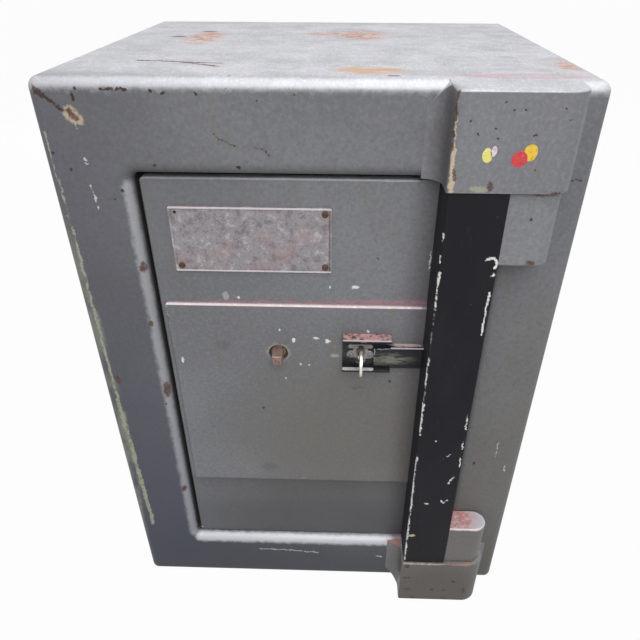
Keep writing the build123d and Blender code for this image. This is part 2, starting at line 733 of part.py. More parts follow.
# Armour plate, from the left margin to the hinge post
armour_width = post_left - armour_left
armour_height = armour_top - armour_bottom
with BuildPart() as armour_plate:
    with BuildSketch(facing(DOOR_INSET)):
        with Locations((armour_left + armour_width / 2, (armour_top + armour_bottom) / 2)):
            Rectangle(armour_width, armour_height)
    extrude(amount=ARMOUR_THICKNESS)
    fillet(armour_plate.edges().filter_by(Axis.Y).group_by(Axis.X)[0], radius=ARMOUR_CORNER)
    armour_rim = armour_plate.faces().sort_by(Axis.Y)[0].edges()
    armour_rim = armour_rim.filter_by(lambda edge: edge.center().X < post_left - 1)
    fillet(armour_rim, radius=ARMOUR_EDGE)
    with BuildSketch(facing(DOOR_INSET)):
        add(keyhole())
        with Locations((SPINDLE_X, spindle_z)):
            Circle(SPINDLE_RADIUS + BUSH_WALL)
        with Locations(*escutcheon_screws):
            Circle(ESCUTCHEON_SCREW[0])
    extrude(amount=ARMOUR_THICKNESS, mode=Mode.SUBTRACT)
save(armour_plate, "armour_plate")

# Hinge post
post_depth = DOOR_INSET + POST_PROUD
with BuildPart() as hinge_post:
    with BuildSketch(Plane.XY.offset(post_bottom)):
        with Locations((post_left + POST_WIDTH / 2, front + DOOR_INSET - post_depth / 2)):
            Rectangle(POST_WIDTH, post_depth)
    extrude(amount=post_top - post_bottom)
    fillet(hinge_post.edges().filter_by(Axis.Z).group_by(Axis.Y)[0], radius=POST_CORNER)
save(hinge_post, "hinge_post")


def hinge_knuckle(name, bottom, top, mouth, inward):
    """Eye round the pin, with a web to the side of the post and a blind bore from its mouth."""
    with BuildPart() as knuckle:
        with BuildSketch(Plane.XY.offset(bottom)):
            with Locations((pivot_x, pivot_y)):
                Circle(KNUCKLE_RADIUS)
            with Locations(((door_right + pivot_x) / 2, pivot_y)):
                Rectangle(pivot_x - door_right, 2 * KNUCKLE_RADIUS)
        extrude(amount=top - bottom)
        for rim in (knuckle.faces().sort_by(Axis.Z)[0], knuckle.faces().sort_by(Axis.Z)[-1]):
            outer = rim.outer_wire().edges().filter_by(lambda edge: edge.center().X > door_right + 1)
            chamfer(outer, length=KNUCKLE_EDGE)
        with BuildSketch(Plane.XY.offset(mouth)):
            with Locations((pivot_x, pivot_y)):
                Circle(PIN_RADIUS + RUNNING_GAP)
        extrude(amount=inward * PIN_IN_KNUCKLE, mode=Mode.SUBTRACT)
    save(knuckle, name)


upper_mouth = opening_top - POST_TOP_GAP
lower_mouth = SILL_HEIGHT + WASHER + END_GAP
upper_knuckle_bottom = opening_top - UPPER_KNUCKLE_HEIGHT
lower_knuckle_top = SILL_HEIGHT + LOWER_KNUCKLE_HEIGHT
hinge_knuckle("upper_hinge_knuckle", upper_knuckle_bottom, upper_mouth, upper_mouth, -1)
hinge_knuckle("lower_hinge_knuckle", lower_mouth, lower_knuckle_top, lower_mouth, 1)

# Nameplate: a bare cast plate with a raised rim and four screw holes
with BuildPart() as nameplate:
    with BuildSketch(facing(DOOR_INSET)):
        with Locations((nameplate_x, nameplate_z)):
            RectangleRounded(NAMEPLATE_WIDTH, NAMEPLATE_HEIGHT, NAMEPLATE_CORNER)
        with Locations(*nameplate_holes):
            Circle(NAMEPLATE_SCREW[0], mode=Mode.SUBTRACT)
    extrude(amount=NAMEPLATE_BASE)
    with BuildSketch(facing(DOOR_INSET - NAMEPLATE_BASE)):
        with Locations((nameplate_x, nameplate_z)):
            RectangleRounded(NAMEPLATE_WIDTH, NAMEPLATE_HEIGHT, NAMEPLATE_CORNER)
            Rectangle(
                NAMEPLATE_WIDTH - 2 * NAMEPLATE_RIM_WIDTH,
                NAMEPLATE_HEIGHT - 2 * NAMEPLATE_RIM_WIDTH,
                mode=Mode.SUBTRACT,
            )
    extrude(amount=NAMEPLATE_RIM - NAMEPLATE_BASE)
save(nameplate, "nameplate")


def round_head_screws(name, places, seat, screw, backward=False):
    """Round-head screws with a slot; the heads sit on a seat at one depth."""
    shank_radius, head_radius, head_height, length = screw
    toward = -1 if backward else 1
    with BuildPart() as screws:
        with BuildSketch(facing(seat)):
            with Locations(*places):
                Circle(shank_radius)
        extrude(amount=-toward * length)
        with BuildSketch(facing(seat)):
            with Locations(*places):
                Circle(head_radius)
        extrude(amount=toward * head_height)
        ends = screws.faces().group_by(Axis.Y)[-1 if backward else 0]
        fillet(ends.edges(), radius=head_height * 0.7)
        with BuildSketch(facing(seat - toward * head_height)):
            with Locations(*places):
                Rectangle(2 * head_radius, SLOT_WIDTH)
        extrude(amount=-toward * SLOT_DEPTH, mode=Mode.SUBTRACT)
    save(screws, name)


round_head_screws(
    "nameplate_screws",
    [place for place in nameplate_holes if place != missing_nameplate_screw],
    DOOR_INSET - NAMEPLATE_BASE,
    NAMEPLATE_SCREW,
)
round_head_screws("escutcheon_screws", escutcheon_screws, escutcheon_face, ESCUTCHEON_SCREW)


def lying_channel(name, left, width, bottom, height, depth, sheet, windows):
    """Channel open to the front, with windows for the lock or grooves for the sliding cover."""
    with BuildPart() as channel:
        with BuildSketch(Plane.YZ.offset(left)):
            with BuildLine():
                Polyline(
                    (front + guard_back, bottom),
                    (front + guard_back - depth, bottom),
                    (front + guard_back - depth, bottom + sheet),
                    (front + guard_face, bottom + sheet),
                    (front + guard_face, bottom + height - sheet),
                    (front + guard_back - depth, bottom + height - sheet),
                    (front + guard_back - depth, bottom + height),
                    (front + guard_back, bottom + height),
                    close=True,
                )
            make_face()
        extrude(amount=width)
        fillet(channel.edges().filter_by(Axis.X).group_by(Axis.Y)[0], radius=sheet * 0.2)
        if windows:
            with BuildSketch(facing(guard_back)):
                add(keyhole())
                with Locations(*escutcheon_screws):
                    Circle(ESCUTCHEON_SCREW[0])
            extrude(amount=GUARD_WEB, mode=Mode.SUBTRACT)
        else:
            with BuildSketch(Plane.YZ.offset(left)):
                with Locations((front + (slide_face + slide_back) / 2, bottom + height / 2)):
                    Rectangle(
                        SLIDE_THICKNESS + 2 * SLIDE_PLAY, height - 2 * sheet + 2 * SLIDE_GROOVE
                    )
            extrude(amount=width, mode=Mode.SUBTRACT)
    save(channel, name)


lying_channel(
    "keyhole_guard", guard_left, GUARD_WIDTH,
    guard_bottom, GUARD_HEIGHT, GUARD_DEPTH, GUARD_SHEET, True,
)
lying_channel(
    "guide_channel", guard_right, post_left - guard_right,
    channel_bottom, CHANNEL_HEIGHT, CHANNEL_DEPTH, CHANNEL_SHEET, False,
)

# Keyhole cover: a plate in the grooves of the channel, slid back to the post
with BuildPart() as keyhole_cover:
    with BuildSketch(facing(slide_back)):
        with Locations(((slide_left + slide_right) / 2, channel_z)):
            Rectangle(slide_right - slide_left, slide_height)
    extrude(amount=SLIDE_THICKNESS)
    chamfer(keyhole_cover.edges().filter_by(Axis.Z).group_by(Axis.X)[0], length=SLIDE_THICKNESS * 0.2)
save(keyhole_cover, "keyhole_cover")

# Escutcheon: a round middle with a broad brow, a lobe for each screw and a tail under the slot
with BuildPart() as escutcheon:
    with BuildSketch(facing(guard_face)):
        with Locations((KEY_X, key_z - ESCUTCHEON_DROP)):
            Rectangle(ESCUTCHEON_WIDTH - 2 * ESCUTCHEON_LOBE, ESCUTCHEON_HEIGHT * 0.55)
        with Locations((KEY_X, key_z)):
            Circle(ESCUTCHEON_LIP)
        with Locations((KEY_X, key_z + ESCUTCHEON_LIP - ESCUTCHEON_BROW / 2)):
            SlotOverall(ESCUTCHEON_BROW_WIDTH, ESCUTCHEON_BROW)
        with Locations((KEY_X, key_z - KEYHOLE_LENGTH + ESCUTCHEON_LOBE - 3)):
            Circle(ESCUTCHEON_LOBE)
        with Locations(*escutcheon_screws):
            Circle(ESCUTCHEON_LOBE * 0.8)
    extrude(amount=ESCUTCHEON_SHEET)
    chamfer(escutcheon.faces().sort_by(Axis.Y)[0].edges(), length=ESCUTCHEON_SHEET * 0.3)
    with BuildSketch(facing(guard_face)):
        add(keyhole())
        with Locations(*escutcheon_screws):
            Circle(ESCUTCHEON_SCREW[0])
    extrude(amount=ESCUTCHEON_SHEET, mode=Mode.SUBTRACT)
save(escutcheon, "escutcheon")

# Door pan: the walls behind the door plate, with a flange turned in at the back
with BuildPart() as door_pan:
    with BuildSketch(facing(pan_back)):
        with Locations((pan_x, door_z)):
            RectangleRounded(pan_width, pan_height, PAN_CORNER)
            Rectangle(
                pan_width - 2 * PAN_FLANGE, pan_height - 2 * PAN_FLANGE, mode=Mode.SUBTRACT
            )
    extrude(amount=PAN_WALL)
    with BuildSketch(facing(pan_back - PAN_WALL)):
        with Locations((pan_x, door_z)):
            RectangleRounded(pan_width, pan_height, PAN_CORNER)
            RectangleRounded(
                pan_width - 2 * PAN_WALL, pan_height - 2 * PAN_WALL, PAN_CORNER - PAN_WALL / 2,
                mode=Mode.SUBTRACT,
            )
    extrude(amount=PAN_DEPTH - PAN_WALL)
    with BuildSketch(Plane.YZ.offset(pan_left)):
        with Locations(*[(bolt_y, z) for z in bolt_heights]):
            Circle(BOLT_BUSH_RADIUS)
    extrude(amount=PAN_WALL, mode=Mode.SUBTRACT)
    with BuildSketch(Plane.YZ.offset(pan_right - PAN_WALL)):
        with Locations(*[(bolt_y, z) for z in bolt_heights]):
            Circle(BOLT_STUD_RADIUS)
    extrude(amount=PAN_WALL, mode=Mode.SUBTRACT)
    with BuildSketch(facing(pan_back)):
        with Locations(*back_screws):
            Circle(BACK_SCREW[0])
    extrude(amount=PAN_WALL, mode=Mode.SUBTRACT)
save(door_pan, "door_pan")

# Inside cover of the door
with BuildPart() as door_back_plate:
    with BuildSketch(facing(cover_back)):
        with Locations((pan_x, door_z)):
            RectangleRounded(pan_width, pan_height, PAN_CORNER)
        with Locations(*back_screws):
            Circle(BACK_SCREW[0], mode=Mode.SUBTRACT)
    extrude(amount=BACK_COVER)
save(door_back_plate, "door_back_plate")
round_head_screws("back_plate_screws", back_screws, cover_back, BACK_SCREW, backward=True)

# Slab of filling fixed to the inside cover
filling_inset = PAN_FLANGE + FILLING_GAP
with BuildPart() as door_filling:
    with BuildSketch(facing(pan_back)):
        with Locations((pan_x, door_z)):
            Rectangle(pan_width - 2 * filling_inset, pan_height - 2 * filling_inset)
    extrude(amount=DOOR_FILLING)
save(door_filling, "door_filling")

# Flanged bushes that guide the bolts through the pan's left wall
with BuildPart() as bolt_bushes:
    with BuildSketch(Plane.YZ.offset(pan_left)):
        with Locations(*[(bolt_y, z) for z in bolt_heights]):
            Circle(BOLT_BUSH_RADIUS)
    extrude(amount=BOLT_BUSH_LENGTH)
    with BuildSketch(Plane.YZ.offset(pan_left + PAN_WALL)):
        with Locations(*[(bolt_y, z) for z in bolt_heights]):
            Circle(BOLT_BUSH_FLANGE)
    extrude(amount=BOLT_BUSH_FLANGE_THICKNESS)
    with BuildSketch(Plane.YZ.offset(pan_left)):
        with Locations(*[(bolt_y, z) for z in bolt_heights]):
            Circle(BOLT_RADIUS + RUNNING_GAP)
    extrude(amount=BOLT_BUSH_LENGTH, mode=Mode.SUBTRACT)
save(bolt_bushes, "bolt_bushes")

# Fixed dog bolts on the hinge side, each on a threaded stud through the pan
with BuildPart() as dog_bolts:
    with BuildSketch(Plane.YZ.offset(pan_right)):
        with Locations(*[(bolt_y, z) for z in bolt_heights]):
            Circle(BOLT_RADIUS)
    extrude(amount=DOG_PROUD)
    chamfer(dog_bolts.faces().group_by(Axis.X)[-1].edges(), length=BOLT_CHAMFER)
    with BuildSketch(Plane.YZ.offset(pan_right - DOG_STUD)):
        with Locations(*[(bolt_y, z) for z in bolt_heights]):
            Circle(BOLT_STUD_RADIUS)
    extrude(amount=DOG_STUD)
save(dog_bolts, "dog_bolts")


def hex_nuts(name, left):
    """Three nuts on the studs at the bolts' heights."""
    with BuildPart() as nuts:
        with BuildSketch(Plane.YZ.offset(left)):
            with Locations(*[(bolt_y, z) for z in bolt_heights]):
                RegularPolygon(NUT_ACROSS / 2, 6, major_radius=False)
        extrude(amount=NUT_THICKNESS)
        with BuildSketch(Plane.YZ.offset(left)):
            with Locations(*[(bolt_y, z) for z in bolt_heights]):
                Circle(BOLT_STUD_RADIUS)
        extrude(amount=NUT_THICKNESS, mode=Mode.SUBTRACT)
    save(nuts, name)


hex_nuts("dog_nuts", pan_right - PAN_WALL - NUT_THICKNESS)

# Bush for the handle spindle
with BuildPart() as spindle_bush:
    with BuildSketch(facing(door_back)):
        with Locations((SPINDLE_X, spindle_z)):
            Circle(SPINDLE_RADIUS + BUSH_WALL)
    extrude(amount=door_back - SPINDLE_SET_BACK)
    with BuildSketch(facing(door_back + BUSH_FLANGE)):
        with Locations((SPINDLE_X, spindle_z)):
            Circle(BUSH_FLANGE_RADIUS)
    extrude(amount=BUSH_FLANGE)
    with BuildSketch(facing(door_back + BUSH_FLANGE)):
        with Locations((SPINDLE_X, spindle_z)):
            Circle(SPINDLE_RADIUS + RUNNING_GAP)
    extrude(amount=door_back + BUSH_FLANGE - SPINDLE_SET_BACK, mode=Mode.SUBTRACT)
save(spindle_bush, "spindle_bush")

# Handle spindle: square stub for the missing handle, round journal, square tail for the crank
with BuildPart() as handle_spindle:
    with BuildSketch(facing(crank_front)):
        with Locations((SPINDLE_X, spindle_z)):
            Circle(SPINDLE_RADIUS)
    extrude(amount=crank_front - SPINDLE_SET_BACK)
    with BuildSketch(facing(SPINDLE_SET_BACK)):
        with Locations((SPINDLE_X, spindle_z)):
            Rectangle(SPINDLE_SQUARE, SPINDLE_SQUARE)
    extrude(amount=SPINDLE_SET_BACK + SPINDLE_PROUD)
    chamfer(handle_spindle.faces().sort_by(Axis.Y)[0].edges(), length=1)
    with BuildSketch(facing(crank_back)):
        with Locations((SPINDLE_X, spindle_z)):
            Rectangle(SPINDLE_TAIL, SPINDLE_TAIL)
    extrude(amount=CRANK_THICKNESS)
save(handle_spindle, "handle_spindle")

# Crank: a hub and an eye joined by their common tangents
with BuildPart() as spindle_crank:
    with BuildSketch(facing(crank_back)):
        with Locations((SPINDLE_X, spindle_z)):
            Circle(CRANK_HUB)
        with Locations((pin_x, pin_z)):
            Circle(CRANK_EYE)
        make_hull()
        with Locations((SPINDLE_X, spindle_z)):
            Rectangle(SPINDLE_TAIL, SPINDLE_TAIL, mode=Mode.SUBTRACT)
        with Locations((pin_x, pin_z)):
            Circle(CRANK_PIN_RADIUS, mode=Mode.SUBTRACT)
    extrude(amount=CRANK_THICKNESS)
save(spindle_crank, "spindle_crank")

with BuildPart() as crank_pin:
    with BuildSketch(facing(carrier_back + CRANK_PIN_OVERRUN)):
        with Locations((pin_x, pin_z)):
            Circle(CRANK_PIN_RADIUS)
    extrude(amount=carrier_back + CRANK_PIN_OVERRUN - crank_front)
save(crank_pin, "crank_pin")

# Bolt carrier: an upright bar, a long tail under the lock and a tab for the crank pin
notch_floor = tongue_end - LOCK_THROW - 2 * SLIDE_GAP
tail_left = bolt_right
stud_slot = THROW + 2 * (STUD_RADIUS + SLIDE_GAP)
with BuildPart() as bolt_carrier:
    with BuildSketch(facing(carrier_back)):
        with Locations((tail_left, tail_bottom)):
            Rectangle(TAIL_RIGHT - tail_left, TAIL_HEIGHT, align=(Align.MIN, Align.MIN))
        with Locations((pin_x, tail_bottom)):
            Rectangle(
                2 * (slot_half + TAB_MARGIN), tab_top - tail_bottom, align=(Align.CENTER, Align.MIN)
            )
        with Locations((pin_x, (slot_bottom + slot_top) / 2)):
            Rectangle(2 * slot_half, slot_top - slot_bottom, mode=Mode.SUBTRACT)
        with Locations((lock_x, notch_floor), (lock_x + THROW, notch_floor)):
            Rectangle(
                TONGUE_WIDTH + 2 * SLIDE_GAP, tail_top - notch_floor,
                align=(Align.CENTER, Align.MIN), mode=Mode.SUBTRACT,
            )
        with Locations(*[(x + THROW / 2, stud_z) for x in STUD_POSITIONS]):
            RectangleRounded(
                stud_slot, 2 * (STUD_RADIUS + SLIDE_GAP), STUD_RADIUS, mode=Mode.SUBTRACT
            )
    extrude(amount=CARRIER_PLATE)
    bar_bottom = bolt_heights[0] - BOLT_RADIUS
    bar_top = bolt_heights[-1] + BOLT_RADIUS
    with BuildSketch(facing(bar_back)):
        with Locations((bolt_right, bar_bottom)):
            Rectangle(CARRIER_BAR, bar_top - bar_bottom, align=(Align.MIN, Align.MIN))
    extrude(amount=bar_back - carrier_front)
    with BuildSketch(Plane.YZ.offset(bolt_right)):
        with Locations(*[(bolt_y, z) for z in bolt_heights]):
            Circle(BOLT_STUD_RADIUS)
    extrude(amount=CARRIER_BAR, mode=Mode.SUBTRACT)
save(bolt_carrier, "bolt_carrier")


def round_bolt(name, height):
    """Round bolt with a chamfered nose and a stud through the carrier's bar."""
    with BuildPart() as bolt:
        with BuildSketch(Plane.YZ.offset(pan_left)):
            with Locations((bolt_y, height)):
                Circle(BOLT_RADIUS)
        extrude(amount=BOLT_LENGTH)
        chamfer(bolt.faces().sort_by(Axis.X)[0].edges(), length=BOLT_CHAMFER)
        with BuildSketch(Plane.YZ.offset(bolt_right)):
            with Locations((bolt_y, height)):
                Circle(BOLT_STUD_RADIUS)
        extrude(amount=CARRIER_BAR + NUT_THICKNESS + 2)
    save(bolt, name)


for bolt_name, bolt_height in zip(bolt_names, bolt_heights):
    round_bolt(bolt_name, bolt_height)
hex_nuts("bolt_nuts", bolt_right + CARRIER_BAR)

# Studs that carry the bolt carrier on the back of the door plate
with BuildPart() as carrier_studs:
    with BuildSketch(facing(carrier_front - SLIDE_GAP)):
        with Locations(*[(x, stud_z) for x in STUD_POSITIONS]):
            Circle(STUD_FLANGE)
    extrude(amount=carrier_front - SLIDE_GAP - door_back)
    with BuildSketch(facing(carrier_back + SLIDE_GAP)):
        with Locations(*[(x, stud_z) for x in STUD_POSITIONS]):
            Circle(STUD_RADIUS)
    extrude(amount=carrier_back + SLIDE_GAP - carrier_front + SLIDE_GAP)
    with BuildSketch(facing(carrier_back + SLIDE_GAP + STUD_HEAD)):
        with Locations(*[(x, stud_z) for x in STUD_POSITIONS]):
            Circle(STUD_FLANGE)
    extrude(amount=STUD_HEAD)
save(carrier_studs, "carrier_studs")

# Lock case, with the keyhole in its floor and a slot for the tongue in its lower wall
with BuildPart() as lock_case:
    with BuildSketch(facing(case_back)):
        with Locations((case_x, case_z)):
            Rectangle(case_width, case_height)
    extrude(amount=CASE_DEPTH)
    with BuildSketch(facing(case_back)):
        with Locations((case_x, case_z)):
            Rectangle(case_width - 2 * CASE_WALL, case_height - 2 * CASE_WALL)
    extrude(amount=CASE_DEPTH - CASE_WALL, mode=Mode.SUBTRACT)
    with BuildSketch(facing(case_floor)):
        add(keyhole())
        with Locations(*case_screws):
            Circle(COVER_SCREW[0])
    extrude(amount=CASE_WALL, mode=Mode.SUBTRACT)
    with BuildSketch(Plane.XY.offset(case_bottom)):
        with Locations((lock_x, front + (carrier_front + carrier_back) / 2)):
            Rectangle(TONGUE_WIDTH + 2 * SLIDE_GAP, CARRIER_PLATE + 2 * SLIDE_GAP)
    extrude(amount=CASE_WALL, mode=Mode.SUBTRACT)
save(lock_case, "lock_case")

with BuildPart() as lock_cover:
    with BuildSketch(facing(cover_face)):
        with Locations((case_x, case_z)):
            Rectangle(case_width, case_height)
        with Locations(*case_screws):
            Circle(COVER_SCREW[0], mode=Mode.SUBTRACT)
        with Locations((KEY_X, key_z)):
            Circle(KEY_SHANK_RADIUS + RUNNING_GAP, mode=Mode.SUBTRACT)
    extrude(amount=CASE_WALL)
save(lock_cover, "lock_cover")
round_head_screws(
    "lock_screws", case_screws, cover_face,
    (COVER_SCREW[0], COVER_SCREW[1], COVER_SCREW[2], cover_face - door_back + COVER_SCREW[3]),
    backward=True,
)

# Stud that guides the lock bolt
with BuildPart() as lock_bolt_guide:
    with BuildSketch(facing(carrier_front - SLIDE_GAP)):
        with Locations((guide_x, guide_z)):
            Circle(BOLT_GUIDE_RADIUS + 2)
    extrude(amount=carrier_front - SLIDE_GAP - case_floor)
    with BuildSketch(facing(carrier_back)):
        with Locations((guide_x, guide_z)):
            Circle(BOLT_GUIDE_RADIUS)
    extrude(amount=CARRIER_PLATE + SLIDE_GAP)
save(lock_bolt_guide, "lock_bolt_guide")

# Post that the levers swing on
with BuildPart() as lever_post:
    with BuildSketch(facing(cover_front)):
        with Locations(lever_pivot):
            Circle(LEVER_POST_RADIUS)
    extrude(amount=cover_front - case_floor)
    with BuildSketch(facing(lever_front - LEVER_SPACE)):
        with Locations(lever_pivot):
            Circle(LEVER_POST_RADIUS + 2)
    extrude(amount=lever_front - LEVER_SPACE - case_floor)
save(lever_post, "lever_post")

# Lock bolt: a body with the talon that the key's bit drives, a tongue below and the stump
bolt_body_left = lock_x - LOCK_BOLT_WIDTH / 2 + 2
bolt_body_bottom = key_z - LOCK_BOLT_BELOW
bolt_body_top = key_z + LOCK_BOLT_ABOVE
guide_slot = LOCK_THROW + 2 * (BOLT_GUIDE_RADIUS + SLIDE_GAP)
with BuildPart() as lock_bolt:
    with BuildSketch(facing(carrier_back)):
        with Locations((bolt_body_left, bolt_body_bottom)):
            Rectangle(
                LOCK_BOLT_WIDTH, bolt_body_top - bolt_body_bottom, align=(Align.MIN, Align.MIN)
            )
        with Locations((lock_x, tongue_end)):
            Rectangle(
                TONGUE_WIDTH, bolt_body_bottom - tongue_end + 1, align=(Align.CENTER, Align.MIN)
            )
        with Locations(
            (bolt_body_left, key_z - TALON_BELOW - TALON_THICKNESS),
            (bolt_body_left, key_z + TALON_ABOVE),
        ):
            Rectangle(TALON_LENGTH, TALON_THICKNESS, align=(Align.MAX, Align.MIN))
        with Locations((guide_x, guide_z + LOCK_THROW / 2)):
            RectangleRounded(
                2 * (BOLT_GUIDE_RADIUS + SLIDE_GAP), guide_slot, BOLT_GUIDE_RADIUS,
                mode=Mode.SUBTRACT,
            )
    extrude(amount=CARRIER_PLATE)
    with BuildSketch(facing(levers_back)):
        with Locations((stump_x, stump_z)):
            Circle(STUMP_RADIUS)
    extrude(amount=levers_back - carrier_back)
save(lock_bolt, "lock_bolt")

# Levers: each hangs from the post, with two pockets joined by the gate for the stump
pocket_top = stump_z + STUMP_RADIUS + GATE_END_GAP
pocket_bottom = stump_z - LOCK_THROW - STUMP_RADIUS - GATE_END_GAP
gate_z = (pocket_top + pocket_bottom) / 2


def lever(name, face):
    """One lever of the pack, its front face at a depth."""
    with BuildPart() as plate:
        with BuildSketch(facing(face + LEVER_THICKNESS)):
            with BuildLine():
                Polyline(
                    (lever_left, lever_bottom),
                    (lever_left + LEVER_WIDTH, lever_bottom),
                    (lever_left + LEVER_WIDTH, pocket_top + LEVER_EYE),
                    (lever_pivot[0] + LEVER_EYE, lever_pivot[1]),
                    (lever_pivot[0] - LEVER_EYE, lever_pivot[1]),
                    (lever_left, pocket_top + LEVER_EYE / 2),
                    close=True,
                )
            make_face()
            with Locations(lever_pivot):
                Circle(LEVER_EYE)
                Circle(LEVER_POST_RADIUS + RUNNING_GAP, mode=Mode.SUBTRACT)
            with Locations((stump_x, gate_z)):
                Rectangle(GATE_POCKET, pocket_top - pocket_bottom, mode=Mode.SUBTRACT)
            for side in (-1, 1):
                edge = stump_x + side * GATE_POCKET / 2
                tooth = edge - (stump_x - GATE_SHIFT + side * GATE_WIDTH / 2)
                if abs(tooth) > 0.05:
                    with Locations((edge - tooth / 2, gate_z)):
                        Rectangle(abs(tooth), GATE_LENGTH)
        extrude(amount=LEVER_THICKNESS)
    save(plate, name)


for number in range(LEVER_COUNT):
    lever(f"lever_{number + 1}", lever_front + number * lever_pitch)

# Key: ring bow in the upright plane, round shank, collar and a stepped bit that points up
bow_y = front - KEY_BOW_FORWARD
with BuildPart() as key:
    with BuildSketch(Plane.YZ.offset(KEY_X - KEY_BOW_THICKNESS / 2)):
        with Locations((bow_y, key_z)):
            Circle(KEY_BOW_RADIUS)
        with Locations((bow_y - KEY_BOW_SHIFT, key_z)):
            Circle(KEY_BOW_HOLE, mode=Mode.SUBTRACT)
    extrude(amount=KEY_BOW_THICKNESS)
    fillet(key.edges(), radius=KEY_BOW_THICKNESS * 0.25)
    with BuildSketch(facing(cover_face)):
        with Locations((KEY_X, key_z)):
            Circle(KEY_SHANK_RADIUS)
    extrude(amount=cover_face + KEY_BOW_FORWARD - KEY_BOW_RADIUS + KEY_COLLAR)
    with BuildSketch(facing(escutcheon_face - KEY_COLLAR_GAP)):
        with Locations((KEY_X, key_z)):
            Circle(KEY_COLLAR_RADIUS)
    extrude(amount=KEY_COLLAR)
    with BuildSketch(Plane.YZ.offset(KEY_X - KEY_BIT_THICKNESS / 2)):
        bit_front = front + carrier_front
        for step, reach in enumerate(KEY_BIT_HEIGHTS):
            width = CARRIER_PLATE + LEVER_SPACE if step == 0 else lever_pitch
            start = bit_front if step == 0 else bit_front + CARRIER_PLATE + (step - 1) * lever_pitch
            with Locations((start, key_z)):
                Rectangle(width, reach, align=(Align.MIN, Align.MIN))
    extrude(amount=KEY_BIT_THICKNESS)
save(key, "key")
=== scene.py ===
"""Key lock safe: materials, paper dots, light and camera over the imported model, in metres."""
import bpy
import bmesh
import math
from mathutils import Matrix, Vector


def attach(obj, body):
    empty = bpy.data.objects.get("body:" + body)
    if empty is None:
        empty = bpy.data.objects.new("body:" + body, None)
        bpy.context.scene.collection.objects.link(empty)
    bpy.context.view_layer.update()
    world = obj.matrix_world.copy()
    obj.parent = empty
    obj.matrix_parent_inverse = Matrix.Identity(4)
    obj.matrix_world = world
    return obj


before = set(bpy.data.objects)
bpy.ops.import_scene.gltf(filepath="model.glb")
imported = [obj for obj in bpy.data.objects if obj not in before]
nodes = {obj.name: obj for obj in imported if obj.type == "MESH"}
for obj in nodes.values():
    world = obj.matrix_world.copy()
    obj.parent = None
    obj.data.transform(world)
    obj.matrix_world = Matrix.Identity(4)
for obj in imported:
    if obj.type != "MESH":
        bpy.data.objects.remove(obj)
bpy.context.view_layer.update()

MM = 0.001

# Planes of the model that marks lie on, in millimetres
FRONT = -228.5
DOOR_FRONT = -218.5
ARMOUR_FRONT = -223.5
CASTING_FRONT = -267.0
POST_FRONT = -265.0
PIVOT_FRONT = -246.0
KNUCKLE_FRONT = -262.5
NAMEPLATE_FRONT = -220.9
TOP = 686.0

# Reach of a mark behind and before its plane, and the soft share of its rim
MARK_DEPTH = 9.0
SOFT_RIM = 0.45

# Edges, lips and holes that marks follow, in millimetres
BOTTOM_LIP = 77
TOP_EDGE = 681
LEFT_LIP = -180
SPINDLE_X, SPINDLE_Z = -45.5, 399
HOLE_RADIUS = 13
POST_LEFT = 117.2
POST_RIGHT = 168.0

# Specular levels of the painted finishes
ENAMEL_SHINE = 0.35
POST_SHINE = 0.16
GUARD_SHINE = 0.3

# Share of a rust mark or a chip that covers, and what it keeps between its patches
RUST_SHARE = 0.9
RUST_LEFT = 0.45
CHIP_LEFT = 0.35

# Paper dots
STICKER_THICKNESS = 0.12 * MM
STICKER_PROUD = 0.06 * MM
AMBER_PROUD = 0.03 * MM
STICKER_STEPS = 40

# Floor, surround and camera
FLOOR_GREY = 0.45
FLOOR_GLOW = 0.97
FLOOR_HALF = 30.0
AMBIENT = 0.17
DAYLIGHT = (0.97, 0.985, 1.0, 1)
WHITE = (1, 1, 1, 1)
CAMERA_PLACE = (0.026897, -0.777321, 0.780502)
CAMERA_PITCH, CAMERA_YAW, CAMERA_ROLL = 34.689, 1.537, 0.243
SENSOR_WIDTH = 36
FOCAL_LENGTH = 33.4016
LENS_SHIFT = (-0.01429, 0.05521)


def screen(red, green, blue):
    """A colour as a screen shows it, 0 to 255, turned into linear light."""
    linear = []
    for value in (red, green, blue):
        part = value / 255
        linear.append(part / 12.92 if part <= 0.04045 else ((part + 0.055) / 1.055) ** 2.4)
    return (*linear, 1.0)


WHITE_CHIP = screen(222, 220, 218)
PALE_GREEN = screen(156, 158, 138)
PRIMER_PINK = screen(186, 128, 126)
PRIMER_RED = screen(160, 122, 128)
RUST = screen(92, 66, 54)
RUST_ORANGE = screen(138, 96, 76)
RUST_DARK = screen(58, 42, 38)
CREAM = screen(190, 174, 150)
# Pale colour of painted highlights along rounded right edges
PAINTED_EDGE_HIGHLIGHT = screen(190, 190, 190)
FAINT_CHIP = screen(178, 178, 180)
SOOT = screen(58, 56, 58)
# Pale dust colour, which also stands as painted light on what faces up
DUST_AND_TOP_LIGHT = screen(204, 204, 211)
OLIVE = screen(112, 106, 88)


